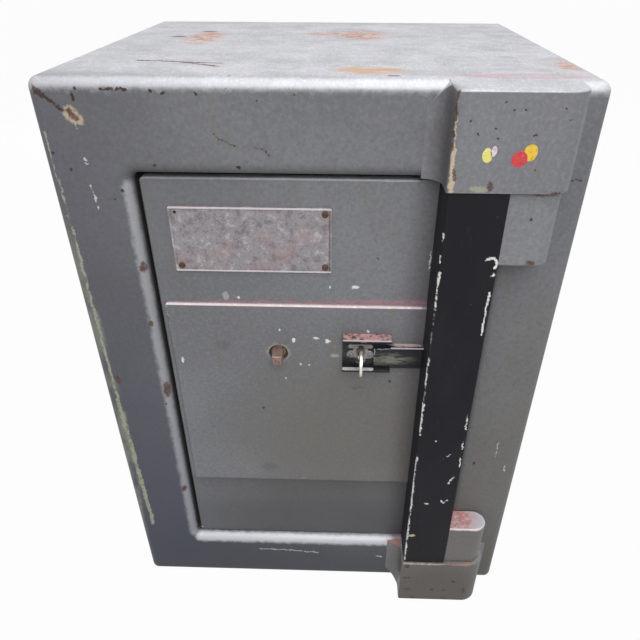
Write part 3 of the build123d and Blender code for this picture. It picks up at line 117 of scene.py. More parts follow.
class Surface:
    """A node material with one Principled shader, built up as layers over a base."""

    def __init__(self, name, colour, roughness, metallic=0.0):
        self.material = bpy.data.materials.new(name)
        self.material.use_nodes = True
        self.tree = self.material.node_tree
        self.tree.nodes.clear()
        self.colour = colour
        self.roughness = roughness
        self.metallic = metallic
        self.height = None
        coordinates = self.node("ShaderNodeTexCoord")
        self.place = coordinates.outputs["Object"]
        self.normal = coordinates.outputs["Normal"]
        self.ragged = self.shaken(self.shaken(self.place, 9 * MM, 7 * MM), 2.2 * MM, 5 * MM)

    def node(self, kind, **settings):
        made = self.tree.nodes.new(kind)
        for key, value in settings.items():
            setattr(made, key, value)
        return made

    def feed(self, socket, value):
        if isinstance(value, bpy.types.NodeSocket):
            self.tree.links.new(value, socket)
        else:
            socket.default_value = value

    def maths(self, operation, first, second=0.0, clamp=False):
        made = self.node("ShaderNodeMath", operation=operation, use_clamp=clamp)
        for socket, value in zip(made.inputs, (first, second)):
            self.feed(socket, value)
        return made.outputs[0]

    def vector(self, operation, *values):
        made = self.node("ShaderNodeVectorMath", operation=operation)
        for socket, value in zip(made.inputs, values):
            self.feed(socket, value)
        return made.outputs["Value" if operation in ("LENGTH", "DOT_PRODUCT") else "Vector"]

    def axis(self, vector, letter):
        made = self.node("ShaderNodeSeparateXYZ")
        self.feed(made.inputs[0], vector)
        return made.outputs[letter]

    def mix(self, mask, under, over):
        made = self.node("ShaderNodeMix", data_type="RGBA")
        self.feed(made.inputs["Factor"], mask)
        self.feed(made.inputs[6], under)
        self.feed(made.inputs[7], over)
        return made.outputs[2]

    def mix_number(self, mask, under, over):
        made = self.node("ShaderNodeMix", data_type="FLOAT")
        self.feed(made.inputs["Factor"], mask)
        self.feed(made.inputs[2], under)
        self.feed(made.inputs[3], over)
        return made.outputs[0]

    def step(self, value, low, high):
        """0 below low and 1 above high, or the other way round where low is the greater."""
        made = self.node("ShaderNodeMapRange", interpolation_type="SMOOTHSTEP")
        self.feed(made.inputs["Value"], value)
        turned = low > high
        made.inputs["From Min"].default_value = min(low, high)
        made.inputs["From Max"].default_value = max(low, high)
        made.inputs["To Min"].default_value = 1.0 if turned else 0.0
        made.inputs["To Max"].default_value = 0.0 if turned else 1.0
        return made.outputs[0]

    def noise(self, size, detail=3.0, roughness=0.5, stretch=(1, 1, 1), shift=0.0, colour=False):
        """Cloudy noise with blobs of about the given size, drawn out along an axis by stretch."""
        scale = tuple(1 / (size * s) for s in stretch)
        moved = self.vector("MULTIPLY_ADD", self.place, scale, (shift, shift * 0.7, shift * 1.3))
        made = self.node("ShaderNodeTexNoise")
        self.feed(made.inputs["Vector"], moved)
        made.inputs["Scale"].default_value = 1.0
        made.inputs["Detail"].default_value = detail
        made.inputs["Roughness"].default_value = roughness
        return made.outputs["Color" if colour else "Fac"]

    def shaken(self, place, size, reach):
        """Coordinates shaken by noise of one size, so that a mark's rim is ragged."""
        shake = self.vector("SUBTRACT", self.noise(size, 4.0, 0.65, colour=True), (0.5, 0.5, 0.5))
        return self.vector("MULTIPLY_ADD", shake, (reach, reach, reach), place)

    def cells(self, size, feature="F1"):
        """A cell texture with cells of about the given size."""
        made = self.node("ShaderNodeTexVoronoi", feature=feature)
        self.feed(made.inputs["Vector"], self.vector("MULTIPLY", self.place, (1 / size,) * 3))
        made.inputs["Scale"].default_value = 1.0
        return made

    def specks(self, spacing, radius, share):
        """Small round specks strewn at about the given spacing, on a share of the places."""
        cells = self.cells(spacing)
        near = self.step(cells.outputs["Distance"], radius / spacing, radius / spacing * 0.55)
        chance = self.axis(cells.outputs["Color"], "X")
        return self.maths("MULTIPLY", near, self.step(chance, 1 - share, 1 - share + 0.02))

    def spot(self, centre, radii, soft=SOFT_RIM):
        """A ragged ellipsoid, 1 inside and 0 outside, from sizes in millimetres."""
        scale = tuple(1 / (r * MM) for r in radii)
        shift = tuple(-c / r for c, r in zip(centre, radii))
        far = self.vector("LENGTH", self.vector("MULTIPLY_ADD", self.ragged, scale, shift))
        return self.step(far, 1 + soft / 2, 1 - soft / 2)

    def stroke(self, start, end, width, soft=0.5, straight=False):
        """A round-ended line between two points, ragged or straight, from sizes in millimetres."""
        origin = tuple(c * MM for c in start)
        along = (Vector(end) - Vector(start)) * MM
        offset = self.vector("SUBTRACT", self.place if straight else self.ragged, origin)
        share = self.vector("DOT_PRODUCT", offset, tuple(along / along.length_squared))
        share = self.maths("MULTIPLY", share, 1.0, clamp=True)
        run = self.node("ShaderNodeVectorMath", operation="SCALE")
        run.inputs[0].default_value = tuple(along)
        self.feed(run.inputs["Scale"], share)
        far = self.vector("LENGTH", self.vector("SUBTRACT", offset, run.outputs[0]))
        half = width * MM / 2
        return self.step(far, half * (1 + soft / 2), half * (1 - soft / 2))

    def most(self, masks):
        """The highest of several masks."""
        joined = masks[0]
        for mask in masks[1:]:
            joined = self.maths("MAXIMUM", joined, mask)
        return joined

    def both(self, first, second):
        """One mask inside another."""
        return self.maths("MULTIPLY", first, second)

    def clouds(self, low, high, *size, **look):
        """Noise cut to a mask: 0 below low and 1 above high, or the other way round."""
        return self.step(self.noise(*size, **look), low, high)

    def cover(self, mask, colour, roughness=None, metallic=None):
        """Lays a colour over what the mask shows, with its own gloss where one is given."""
        self.colour = self.mix(mask, self.colour, colour)
        if roughness is not None:
            self.roughness = self.mix_number(mask, self.roughness, roughness)
        if metallic is not None:
            self.metallic = self.mix_number(mask, self.metallic, metallic)

    def tint(self, mask, share, colour, roughness=None, metallic=None):
        """A cover at part strength."""
        self.cover(self.maths("MULTIPLY", mask, share), colour, roughness, metallic)

    def swell(self, mask, rise):
        """Raises the surface by rise, in metres, where the mask is 1."""
        lifted = self.maths("MULTIPLY", mask, rise)
        self.height = lifted if self.height is None else self.maths("ADD", self.height, lifted)

    def finish(self, **shader_settings):
        """Joins the layers to the shader and gives the material."""
        shader = self.node("ShaderNodeBsdfPrincipled")
        self.feed(shader.inputs["Base Color"], self.colour)
        self.feed(shader.inputs["Roughness"], self.roughness)
        self.feed(shader.inputs["Metallic"], self.metallic)
        for key, value in shader_settings.items():
            shader.inputs[key.replace("_", " ")].default_value = value
        if self.height is not None:
            bump = self.node("ShaderNodeBump")
            bump.inputs["Distance"].default_value = 1.0
            self.feed(bump.inputs["Height"], self.height)
            self.tree.links.new(bump.outputs[0], shader.inputs["Normal"])
        output = self.node("ShaderNodeOutputMaterial")
        self.tree.links.new(shader.outputs[0], output.inputs["Surface"])
        return self.material


def on_front(x, z, width, height, plane=FRONT):
    """Centre and radii of a mark that lies on an upright plane."""
    return (x, plane, z), (width / 2, MARK_DEPTH, height / 2)


def on_top(x, back, width, depth):
    """Centre and radii of a mark on the roof, back being the distance from the front."""
    return (x, FRONT + back, TOP), (width / 2, depth / 2, MARK_DEPTH)


def front_line(surface, points, width, plane=FRONT, soft=0.5, straight=False):
    """A scratch on an upright plane through (x, z) points."""
    runs = []
    for (x0, z0), (x1, z1) in zip(points, points[1:]):
        runs.append(surface.stroke((x0, plane, z0), (x1, plane, z1), width, soft, straight))
    return surface.most(runs)


def marks(surface, rows, plane=FRONT, soft=SOFT_RIM):
    """Masks on an upright plane: a spot from x, z, width, height, or a line from points, width."""
    made = []
    for row in rows:
        if len(row) == 2:
            made.append(front_line(surface, *row, plane))
        else:
            made.append(surface.spot(*on_front(*row, plane), soft))
    return made


def roof_marks(surface, rows, soft=SOFT_RIM):
    """Spots on the roof, each from x, distance from the front, width and depth."""
    return [surface.spot(*on_top(*row), soft) for row in rows]


def rust_colour(surface, size):
    """Brown rust that runs from nearly black to orange."""
    cloud = surface.noise(size, 5.0, 0.7, shift=3.1)
    dark = surface.mix(surface.step(cloud, 0.36, 0.52), RUST_DARK, RUST)
    return surface.mix(surface.step(cloud, 0.56, 0.74), dark, RUST_ORANGE)


def lay_rust(surface, masks, size):
    """Rust marks in patches. Flat, for relief would overload the body's large node tree."""
    patchy = surface.clouds(0.3, 0.5, 2.6 * MM, 5.0, 0.7, shift=17.0)
    joined = surface.most(masks)
    mask = surface.both(joined, surface.mix_number(patchy, RUST_SHARE * RUST_LEFT, RUST_SHARE))
    surface.cover(mask, rust_colour(surface, size), 0.85, 0.0)


def lay_chips(surface, masks, colour=WHITE_CHIP, share=1.0):
    """Chips and scratches down to another coat, thinner in small patches."""
    patchy = surface.clouds(0.33, 0.46, 2.2 * MM, 5.0, 0.7, shift=15.0)
    joined = surface.most(masks)
    mask = surface.both(joined, surface.mix_number(patchy, share * CHIP_LEFT, share))
    surface.cover(mask, colour, 0.7, 0.0)


def tinted(colour, factor):
    """A colour made lighter or darker by a factor."""
    return tuple(min(1.0, c * factor) for c in colour[:3]) + (1.0,)


def grey_paint(name, shade=1.0, dust=0.55):
    """Silver-grey hammered enamel: fine mottle, dimples, grime, and dust on what faces up, laid
    pale enough to be painted top light too.
    """
    base = tinted(screen(112, 113, 117), shade)
    surface = Surface(name, base, 0.5, 0.12)
    broad = surface.noise(150 * MM, 4.0, 0.55)
    surface.cover(surface.step(broad, 0.42, 0.66), tinted(base, 1.12))
    cool = surface.noise(240 * MM, 3.0, 0.5, shift=9.0)
    surface.cover(surface.step(cool, 0.55, 0.42), tinted(base, 0.88))
    hue = surface.noise(22 * MM, 4.0, 0.6, shift=12.0)
    surface.tint(surface.step(hue, 0.52, 0.66), 0.3, tinted(screen(106, 112, 108), shade))
    surface.tint(surface.step(hue, 0.48, 0.34), 0.3, tinted(screen(112, 107, 116), shade))
    mottle = surface.noise(4 * MM, 5.0, 0.7, shift=14.0)
    surface.tint(surface.step(mottle, 0.5, 0.64), 0.5, tinted(base, 1.25))
    surface.tint(surface.step(mottle, 0.5, 0.36), 0.5, tinted(base, 0.74))
    dimples = surface.cells(3.2 * MM, feature="SMOOTH_F1")
    dimples.inputs["Smoothness"].default_value = 0.7
    hollow = dimples.outputs["Distance"]
    flake = surface.noise(0.9 * MM, 2.0, 0.6)
    bright = surface.both(surface.step(hollow, 0.5, 0.1), surface.step(flake, 0.5, 0.75))
    surface.tint(bright, 0.5, tinted(base, 1.35), 0.4)
    surface.swell(hollow, 0.09 * MM)
    surface.swell(flake, 0.02 * MM)
    surface.swell(surface.noise(30 * MM, 2.0, 0.5, shift=5.0), 0.25 * MM)
    streak = surface.noise(12 * MM, 5.0, 0.65, stretch=(1, 1, 8), shift=4.0)
    grime = surface.both(surface.step(streak, 0.5, 0.72), surface.step(broad, 0.62, 0.4))
    surface.tint(grime, 0.35, OLIVE, 0.6)
    # Dust and worn grain on what faces up, made pale also as painted light falling on the tops
    up = surface.step(surface.axis(surface.normal, "Z"), 0.06, 0.55)
    film = surface.clouds(0.32, 0.66, 40 * MM, 6.0, 0.7, stretch=(1.4, 1.2, 1), shift=6.0)
    film = surface.mix_number(film, dust * 0.62, dust * 1.2)
    surface.cover(surface.both(up, film), DUST_AND_TOP_LIGHT, 0.48)
    grain = surface.noise(2.2 * MM, 5.0, 0.75, stretch=(1, 2.6, 1), shift=16.0)
    worn = surface.both(up, surface.step(grain, 0.5, 0.6))
    surface.tint(worn, 0.42, screen(160, 160, 164), 0.5)
    pale = surface.both(up, surface.step(grain, 0.48, 0.4))
    surface.tint(pale, 0.3, screen(218, 218, 226), 0.45)
    return surface


def body_paint():
    """The body's enamel with its chips, scratches and rust in their places, painted shade towards
    the foot and the left, and painted highlights on the lips and top edge.
    """
    surface = grey_paint("body paint")
    # Painted shade: the front made darker towards the bottom and the left, with a painted bluish
    # reflection at the lower left and a warmer, darker lower right
    low_left = surface.spot((-245, FRONT, 60), (210, 30, 270), soft=1.6)
    surface.tint(low_left, 0.86, screen(52, 58, 78))
    left = surface.spot((-254, FRONT, 430), (110, 30, 420), soft=1.6)
    surface.tint(left, 0.62, screen(76, 75, 84))
    foot = surface.spot((0, FRONT, 10), (330, 30, 86), soft=1.6)
    surface.tint(foot, 0.85, screen(56, 59, 66))
    low_right = surface.spot((245, FRONT, 150), (70, 30, 260), soft=1.6)
    surface.tint(low_right, 0.5, screen(96, 90, 76))
    # Painted highlights along the bottom lip, the top front edge and the left lip
    lips = [
        ((-172, FRONT + 3, BOTTOM_LIP), (98, FRONT + 3, BOTTOM_LIP), 15, 1.0, 0.66),
        ((-250, FRONT + 4, TOP_EDGE), (252, FRONT + 4, TOP_EDGE), 12, 1.0, 0.3),
        ((LEFT_LIP, FRONT + 3, 86), (LEFT_LIP, FRONT + 3, 590), 11, 1.2, 0.34),
    ]
    lit = []
    for start, end, width, soft, share in lips:
        lit.append(surface.maths("MULTIPLY", surface.stroke(start, end, width, soft), share))
    surface.cover(surface.most(lit), screen(222, 223, 228), 0.42)
    # Painted shade down the rounded left edge
    rim = surface.stroke((-254, FRONT + 12, 10), (-254, FRONT + 12, 670), 11, straight=True)
    surface.tint(rim, 0.6, screen(44, 44, 50))
    band = surface.spot((-249, FRONT, 320), (12, 16, 220), soft=0.4)
    torn = surface.clouds(0.38, 0.6, 16 * MM, 5.0, 0.65, stretch=(1, 1, 3), shift=1.0)
    band = surface.both(band, torn)
    surface.tint(band, 0.65, screen(134, 137, 126))
    yellow = marks(surface, [
        ([(-246, 640), (-245.5, 602), (-243.5, 562)], 1.8), ([(-244, 562), (-241, 330)], 2.8),
        ([(-242, 330), (-238, 200), (-236, 105)], 5),
    ])
    broken = surface.clouds(0.38, 0.48, 11 * MM, 5.0, 0.68, stretch=(1, 1, 2.2), shift=1.0)
    lay_chips(surface, [surface.both(surface.most(yellow), broken)], PALE_GREEN)
    white = marks(surface, [
        (-214, 616, 3, 2), (-214, 612.3, 3, 2),
        ([(-214.7, 591.5), (-213.5, 586.8), (-212.9, 582.6), (-212.5, 576)], 1.8),
        (-212, 569.7, 2.4, 3), ([(-88, 55), (-45, 54), (-3, 50)], 1.8), (87, 45, 9, 3),
        ([(222, 273), (222, 250)], 1.6), ([(237, 234), (237, 226)], 1.8),
    ])
    lay_chips(surface, white, screen(190, 190, 188))
    rust = marks(surface, [
        ([(-219, 658), (-214, 652)], 6), (-235, 360, 6, 11), (-184, 437, 6, 8),
        (-180, 505, 7, 13), (-180, 345, 8, 24), (-182, 177, 7, 10),
    ])
    blob = marks(surface, [
        ([(-219, 657), (-214, 652)], 12), ([(-215.8, 647), (-215.5, 642)], 1.4),
    ])
    lay_chips(surface, blob, CREAM, 0.8)
    diagonal = marks(surface, [
        ([(-247, 677), (-240, 671)], 6),
        ([(-240, 671), (-233, 665.4), (-229.8, 662.7), (-224, 658.7)], 3.4),
    ])
    lay_chips(surface, diagonal, RUST_DARK, 0.95)
    lay_rust(surface, rust, 5 * MM)
    hair = [(-93, 640), (-87, 635), (-78, 631), (-65, 629), (-46, 626), (-43, 621)]
    surface.cover(front_line(surface, hair, 1.3, soft=0.9), screen(74, 64, 50), 0.7, 0.0)
    sill = surface.spot((150, FRONT + 3, 78), (40, 14, 9), soft=1.2)
    surface.tint(sill, 0.6, PRIMER_PINK)
    dark = marks(surface, [
        (-73, 610, 4, 3), (-213.9, 670.4, 3, 7), (-150.6, 611, 3, 2.4), (-185.9, 586.7, 2.6, 4),
        (-193.8, 578.6, 2.4, 2.4), (-230.3, 605.8, 2.4, 3), (-242.7, 621.6, 2, 3),
        ([(-188, 677), (-183, 676.9), (-176.8, 676.3)], 2.2),
        ([(-174, 675.8), (-169.6, 676.7), (-165.5, 676)], 2.6), (-209.5, 676.6, 2.4, 3),
        (-143.9, 675, 4, 3), (-133, 674.4, 5, 2.4), (-104.5, 672.8, 3, 3), (197, 237, 3, 5),
        ([(234, 602), (250, 602)], 1.5),
    ])
    for spacing, radius, share, centre, radii in [
        (15, 1.9, 0.5, (-40, FRONT + 6, TOP - 8), (225, 20, 12)),
        (12, 1.7, 0.4, (-20, FRONT, 606), (165, 12, 9)),
        (13, 1.5, 0.4, (-182, FRONT, 340), (7, 12, 260)),
    ]:
        strewn = surface.specks(spacing * MM, radius * MM, share)
        dark.append(surface.both(strewn, surface.spot(centre, radii)))
    surface.cover(surface.most(dark), RUST_DARK, 0.8, 0.0)
    strewn = surface.specks(70 * MM, 1.1 * MM, 0.35)
    surface.tint(strewn, 0.7, SOOT, 0.8, 0.0)
    roof_rust = roof_marks(surface, [
        (-150, 270, 44, 110), (45, 300, 60, 90), (0, 315, 46, 30),
    ], soft=1.0)
    roof_rust += roof_marks(surface, [(236, 80, 20, 46)], soft=0.8)
    patchy = surface.clouds(0.44, 0.52, 12 * MM, 7.0, 0.8, stretch=(1.3, 1, 1), shift=2.0)
    strips = surface.clouds(0.6, 0.68, 10 * MM, 6.0, 0.75, stretch=(5, 1, 1), shift=23.0)
    everywhere = surface.both(strips, surface.spot((20, 0, TOP), (330, 300, 4), soft=0.2))
    roof = surface.maths("MAXIMUM", surface.both(surface.most(roof_rust), patchy),
                         surface.maths("MULTIPLY", everywhere, 0.35))
    tone = surface.clouds(0.46, 0.58, 9 * MM, 5.0, 0.75)
    roof_tone = surface.mix(tone, screen(192, 142, 112), screen(150, 112, 102))
    surface.tint(roof, 0.85, roof_tone, 0.8, 0.0)
    tan, = roof_marks(surface, [(46, 46, 66, 38)], soft=0.6)
    flaky = surface.clouds(0.4, 0.52, 12 * MM, 6.0, 0.75, stretch=(3, 1, 1), shift=9.0)
    surface.tint(surface.both(tan, flaky), 0.8, screen(186, 146, 108), 0.8, 0.0)
    mauve, = roof_marks(surface, [(178, 24, 130, 24)], soft=0.8)
    flaky = surface.clouds(0.42, 0.56, 10 * MM, 6.0, 0.75, stretch=(4, 1, 1), shift=7.0)
    surface.tint(surface.both(mauve, flaky), 0.75, screen(178, 146, 152), 0.8, 0.0)
    far = roof_marks(surface, [
        (-150, 436, 90, 34), (30, 440, 80, 28), (150, 442, 110, 22),
    ], soft=1.2)
    surface.tint(surface.most(far), 0.6, screen(158, 156, 148))
    flank = surface.step(surface.maths("ABSOLUTE", surface.axis(surface.normal, "X")), 0.7, 0.9)
    behind = surface.step(surface.axis(surface.normal, "Y"), 0.7, 0.9)
    plain_side = surface.maths("MAXIMUM", flank, behind)
    freckles = surface.both(plain_side, surface.specks(42 * MM, 2.6 * MM, 0.3))
    low_edge = surface.step(surface.axis(surface.ragged, "Z"), 16 * MM, 6 * MM)
    flaking = surface.clouds(0.5, 0.56, 16 * MM, 6.0, 0.75, stretch=(1, 1, 0.6), shift=25.0)
    flaked_foot = surface.both(surface.both(plain_side, low_edge), flaking)
    lay_rust(surface, [freckles, flaked_foot], 6 * MM)
    scuffs = surface.clouds(0.63, 0.69, 8 * MM, 6.0, 0.75, stretch=(7, 7, 1), shift=27.0)
    surface.tint(surface.both(plain_side, scuffs), 0.5, screen(164, 165, 168), 0.55)
    scratch = [
        surface.stroke((-180, FRONT + 92, TOP), (-95, FRONT + 78, TOP), 4),
        surface.stroke((-135, FRONT + 84, TOP), (-95, FRONT + 60, TOP), 4.5),
    ]
    scratch += roof_marks(surface, [(-183, 275, 18, 10), (-155, 327, 20, 8), (67, 20, 12, 5)])
    lay_rust(surface, scratch, 7 * MM)
    smudge = roof_marks(surface, [
        (187, 180, 26, 18), (187, 130, 20, 16), (212, 305, 24, 30),
    ], soft=1.0)
    surface.tint(surface.most(smudge), 0.5, screen(140, 142, 142))
    return surface.finish(Specular_IOR_Level=ENAMEL_SHINE)


def casting_paint():
    """The two hinge castings: the same enamel made lighter as painted light, worn to primer and
    rust at the rims, with painted shade on the left fillet and a painted highlight at the right
    edge.
    """
    # Painted light: a lighter copy of the enamel, as the castings catch more light
    surface = grey_paint("casting paint", shade=1.24)
    front = CASTING_FRONT
    low = surface.spot((165, front, 20), (100, 40, 90), soft=1.4)
    surface.tint(low, 0.85, screen(80, 73, 65))
    # Painted shade on the left fillet, which faces away from the light
    fillet_shade = surface.spot((104, front + 14, 640), (16, 22, 90), soft=0.8)
    surface.tint(fillet_shade, 0.5, screen(74, 62, 58))
    cream = marks(surface, [
        ([(116.5, 664), (117, 640)], 2.0), ([(117, 640), (118.5, 604)], 4.6),
        ([(116, 81.6), (170, 81.6)], 2.4),
    ], front)
    lay_chips(surface, cream, CREAM)
    lay_chips(surface, marks(surface, [(142, 605.5, 17, 5)], front), PALE_GREEN, 0.8)
    pink = [
        front_line(surface, [(170, 82), (215, 82)], 2.4, front),
        surface.spot((104, FRONT - 6, 82), (12, 12, 5)),
    ]
    lay_chips(surface, pink, PRIMER_PINK, 0.8)
    # Painted highlight along the casting's right edge
    rim = front_line(surface, [(225.6, 678), (225.6, 606)], 1.2, PIVOT_FRONT, 0.8, straight=True)
    lay_chips(surface, [rim], PAINTED_EDGE_HIGHLIGHT, 0.7)
    rust = marks(surface, [
        ([(114.5, 685), (115, 640)], 3.6), (120, 618, 4, 11), (152, 608, 6, 8),
        (209, 602, 12, 4), (123, 75.6, 8, 7), (120.6, 50, 6, 4), (127, 51, 4, 3),
        (190, 44, 7, 5), (125.6, 24, 11, 5), (161, 24, 6, 4), (177, 24, 6, 4),
        (206, 25, 3.4, 20), (134, 4, 8, 5), (179, 5, 8, 5),
    ], front)
    lay_rust(surface, rust, 5 * MM)
    dots = ((135.6, 651.6), (182.5, 651), (153, 647.5), (208.7, 663.7), (203, 672.5), (171.5, 672),
            (163, 672), (154, 677), (149, 656), (128, 662), (188, 623))
    dark = marks(surface, [(x, z, 2.1, 2.1) for x, z in dots], front)
    surface.cover(surface.most(dark), SOOT, 0.8, 0.0)
    return surface.finish(Specular_IOR_Level=ENAMEL_SHINE)


def knuckle_paint():
    """The door's hinge knuckles, made lighter as painted light, chipped on top and rusty where they
    rub, with painted top light and a painted highlight at the right edge.
    """
    # Painted light: a lighter copy of the enamel, as the knuckles catch more light
    surface = grey_paint("knuckle paint", shade=1.3)
    low = surface.spot((190, KNUCKLE_FRONT, 110), (60, 40, 80), soft=1.2)
    surface.tint(low, 0.6, screen(92, 86, 77))
    rust = marks(surface, [(202, 534, 9, 5)], KNUCKLE_FRONT) + [
        surface.spot((199, -250, 601), (12, 14, 5)),
        surface.stroke((174, KNUCKLE_FRONT, 84.5), (214, KNUCKLE_FRONT, 84.5), 2.4),
    ]
    lay_rust(surface, rust, 5 * MM)
    # Wear on the knuckle's top face, laid pale also as painted top light
    worn_and_top_light = surface.spot((200, -246, 151), (40, 40, 3), soft=0.4)
    surface.tint(worn_and_top_light, 0.8, screen(202, 196, 204), 0.6, 0.0)
    pink = surface.spot((186, -242, 151), (22, 22, 5), soft=0.9)
    flaked = surface.clouds(0.4, 0.54, 8 * MM, 6.0, 0.72, shift=21.0)
    tone = surface.clouds(0.45, 0.6, 5 * MM, 4.0, 0.7)
    flake_tone = surface.mix(tone, PRIMER_PINK, screen(190, 124, 108))
    surface.cover(surface.both(pink, flaked), flake_tone, 0.75, 0.0)
    ring = [(172, -261.7), (206, -261.7), (214, -259), (219.5, -253), (220.8, -246), (218, -237)]
    edge = []
    for (x0, y0), (x1, y1) in zip(ring, ring[1:]):
        edge.append(surface.stroke((x0, y0, 150.5), (x1, y1, 150.5), 2.4, straight=True))
    surface.tint(surface.most(edge), 0.9, screen(226, 222, 226), 0.6, 0.0)
    # Painted highlight along the knuckle's right edge
    rim = surface.stroke((221.2, -248, 598), (221.2, -248, 534), 1.2, soft=0.8, straight=True)
    lay_chips(surface, [rim], PAINTED_EDGE_HIGHLIGHT, 0.7)
    pit, = marks(surface, [(195, 577, 3, 3.4)], KNUCKLE_FRONT)
    surface.cover(pit, SOOT, 0.8, 0.0)
    return surface.finish(Specular_IOR_Level=ENAMEL_SHINE)


def door_paint():
    """Door plate and armour plate: enamel with worn edges, drips and small chips, painted shade low
    down, in the top left and beside the post, and painted highlights along top edges.
    """
    surface = grey_paint("door paint", shade=1.1, dust=0.4)
    olive = surface.spot((30, ARMOUR_FRONT, 275), (115, 12, 105), soft=1.4)
    surface.tint(olive, 0.5, screen(106, 101, 88))
    # Painted shade on the lower door, darkest just under the armour plate's bottom edge
    under = surface.spot((0, DOOR_FRONT, 110), (200, 12, 70), soft=1.4)
    surface.tint(under, 0.75, screen(72, 72, 75))
    ends = (-163, DOOR_FRONT, 94.6), (115, DOOR_FRONT, 95.4)
    below = surface.stroke(*ends, 200, soft=0.03, straight=True)
    surface.tint(below, 0.16, screen(64, 63, 64))
    shade = surface.both(below, surface.spot((-20, DOOR_FRONT, 198), (190, 20, 26), soft=1.6))
    surface.tint(shade, 0.42, screen(62, 58, 56))
    # Painted shade in the door's top left corner
    corner_shade = surface.spot((-165, DOOR_FRONT, 600), (100, 20, 120), soft=1.6)
    surface.tint(corner_shade, 0.4, screen(92, 93, 95))
    seam = front_line(surface, [(-163, 194.4), (115, 195.2)], 1.6, DOOR_FRONT, straight=True)
    surface.tint(seam, 0.8, SOOT)
    # Painted shadow of the post on the door's right part
    post_shadow = surface.spot((122, DOOR_FRONT, 340), (26, 12, 290), soft=1.2)
    surface.tint(post_shadow, 0.35, screen(76, 64, 64))
    worn = marks(surface, [([(-165.5, 460), (-165.5, 446)], 2)], ARMOUR_FRONT)
    worn += marks(surface, [
        (-87, 467, 2.4, 2.4), (40, 482, 8, 3.4), (12, 482, 2.4, 2.4),
        ([(115, 525), (115, 505)], 1.4),
    ], DOOR_FRONT)
    worn += marks(surface, [
        (-28, 416, 3.4, 7), (-3, 420, 7, 2.4), (10, 417, 6, 4.5), (-20, 384, 2.6, 2.6),
        (-10, 383, 2.6, 2.6), (-39, 364, 2.6, 2.6), (-157, 387, 3, 7), (-43, 430, 2.6, 2.6),
        (55, 430, 3, 3.4), (38, 193, 4, 2.4),
    ], ARMOUR_FRONT)
    worn += marks(surface, [(-170, 88, 3, 3)], DOOR_FRONT)
    lay_chips(surface, worn)
    faint = [
        # A painted highlight along the door's top edge
        front_line(surface, [(-171, 596.6), (114, 596.6)], 1.6, DOOR_FRONT, straight=True),
        front_line(surface, [(-164.6, 452), (-164.4, 405)], 1.2, ARMOUR_FRONT),
    ]
    faint += marks(surface, [(18, 397, 8, 6)], ARMOUR_FRONT, soft=1.0)
    faint += marks(surface, [(-100, 469, 7, 10)], DOOR_FRONT)
    lay_chips(surface, faint, FAINT_CHIP, 0.6)
    film = surface.clouds(0.36, 0.5, 7 * MM, 5.0, 0.7, shift=18.0)
    primer = [
        surface.both(surface.spot((75, DOOR_FRONT, 463.6), (62, 3, 3.6), soft=0.8), film),
        surface.both(surface.spot((-10, DOOR_FRONT, 462.4), (130, 3, 1.6), soft=0.6), film),
    ]
    primer += marks(surface, [(-21, 199, 4, 2.4)], ARMOUR_FRONT)
    lay_chips(surface, primer, PRIMER_RED, 0.85)
    # Bare metal and a painted highlight along the armour's top edge
    ledge_wear_and_highlight = front_line(surface, [(-166, 460.6), (110, 460.6)], 2.8, ARMOUR_FRONT + 1, straight=True)
    ledge_tone = surface.mix(film, screen(232, 226, 226), screen(224, 200, 202))
    surface.tint(ledge_wear_and_highlight, 0.92, ledge_tone, 0.6, 0.0)
    scale = (1 / (HOLE_RADIUS * MM), 0, 1 / (HOLE_RADIUS * MM))
    shift = (-SPINDLE_X / HOLE_RADIUS, 0, -SPINDLE_Z / HOLE_RADIUS)
    ring = surface.vector("LENGTH", surface.vector("MULTIPLY_ADD", surface.ragged, scale, shift))
    halo = surface.both(surface.step(ring, 1.2, 0.85), surface.clouds(0.35, 0.5, 5 * MM))
    surface.tint(halo, 0.5, screen(170, 168, 166), 0.6, 0.0)
    dark = marks(surface, [(62, 516, 2.4, 2.4)], DOOR_FRONT)
    dark += marks(surface, [
        (-67, 318, 2.4, 2.4), (-131, 286, 2.4, 2.4), (83, 362, 3, 3),
    ], ARMOUR_FRONT)
    surface.cover(surface.most(dark), SOOT, 0.8, 0.0)
    smudges = marks(surface, [
        (-65, 218, 20, 14), (-107, 408, 16, 12), (45, 352, 16, 5),
    ], ARMOUR_FRONT, soft=1.0)
    surface.tint(surface.most(smudges), 0.25, SOOT)
    return surface.finish(Specular_IOR_Level=ENAMEL_SHINE)


def black_paint(name):
    """Satin black enamel with fine dust, brushed streaks and a few scuffs."""
    surface = Surface(name, screen(23, 22, 27), 0.58)
    cloud = surface.noise(55 * MM, 4.0, 0.6, stretch=(1, 1, 2.4))
    surface.cover(surface.step(cloud, 0.4, 0.7), screen(31, 30, 35), 0.62)
    scuff = surface.noise(5 * MM, 6.0, 0.72, stretch=(1, 1, 5), shift=2.0)
    surface.tint(surface.step(scuff, 0.62, 0.76), 0.22, screen(92, 90, 94), 0.62)
    specks = surface.specks(11 * MM, 0.7 * MM, 0.3)
    surface.tint(specks, 0.4, screen(110, 108, 110), 0.7)
    surface.swell(surface.noise(1.8 * MM, 3.0, 0.6), 0.05 * MM)
    surface.swell(surface.noise(24 * MM, 2.0, 0.5), 0.2 * MM)
    return surface


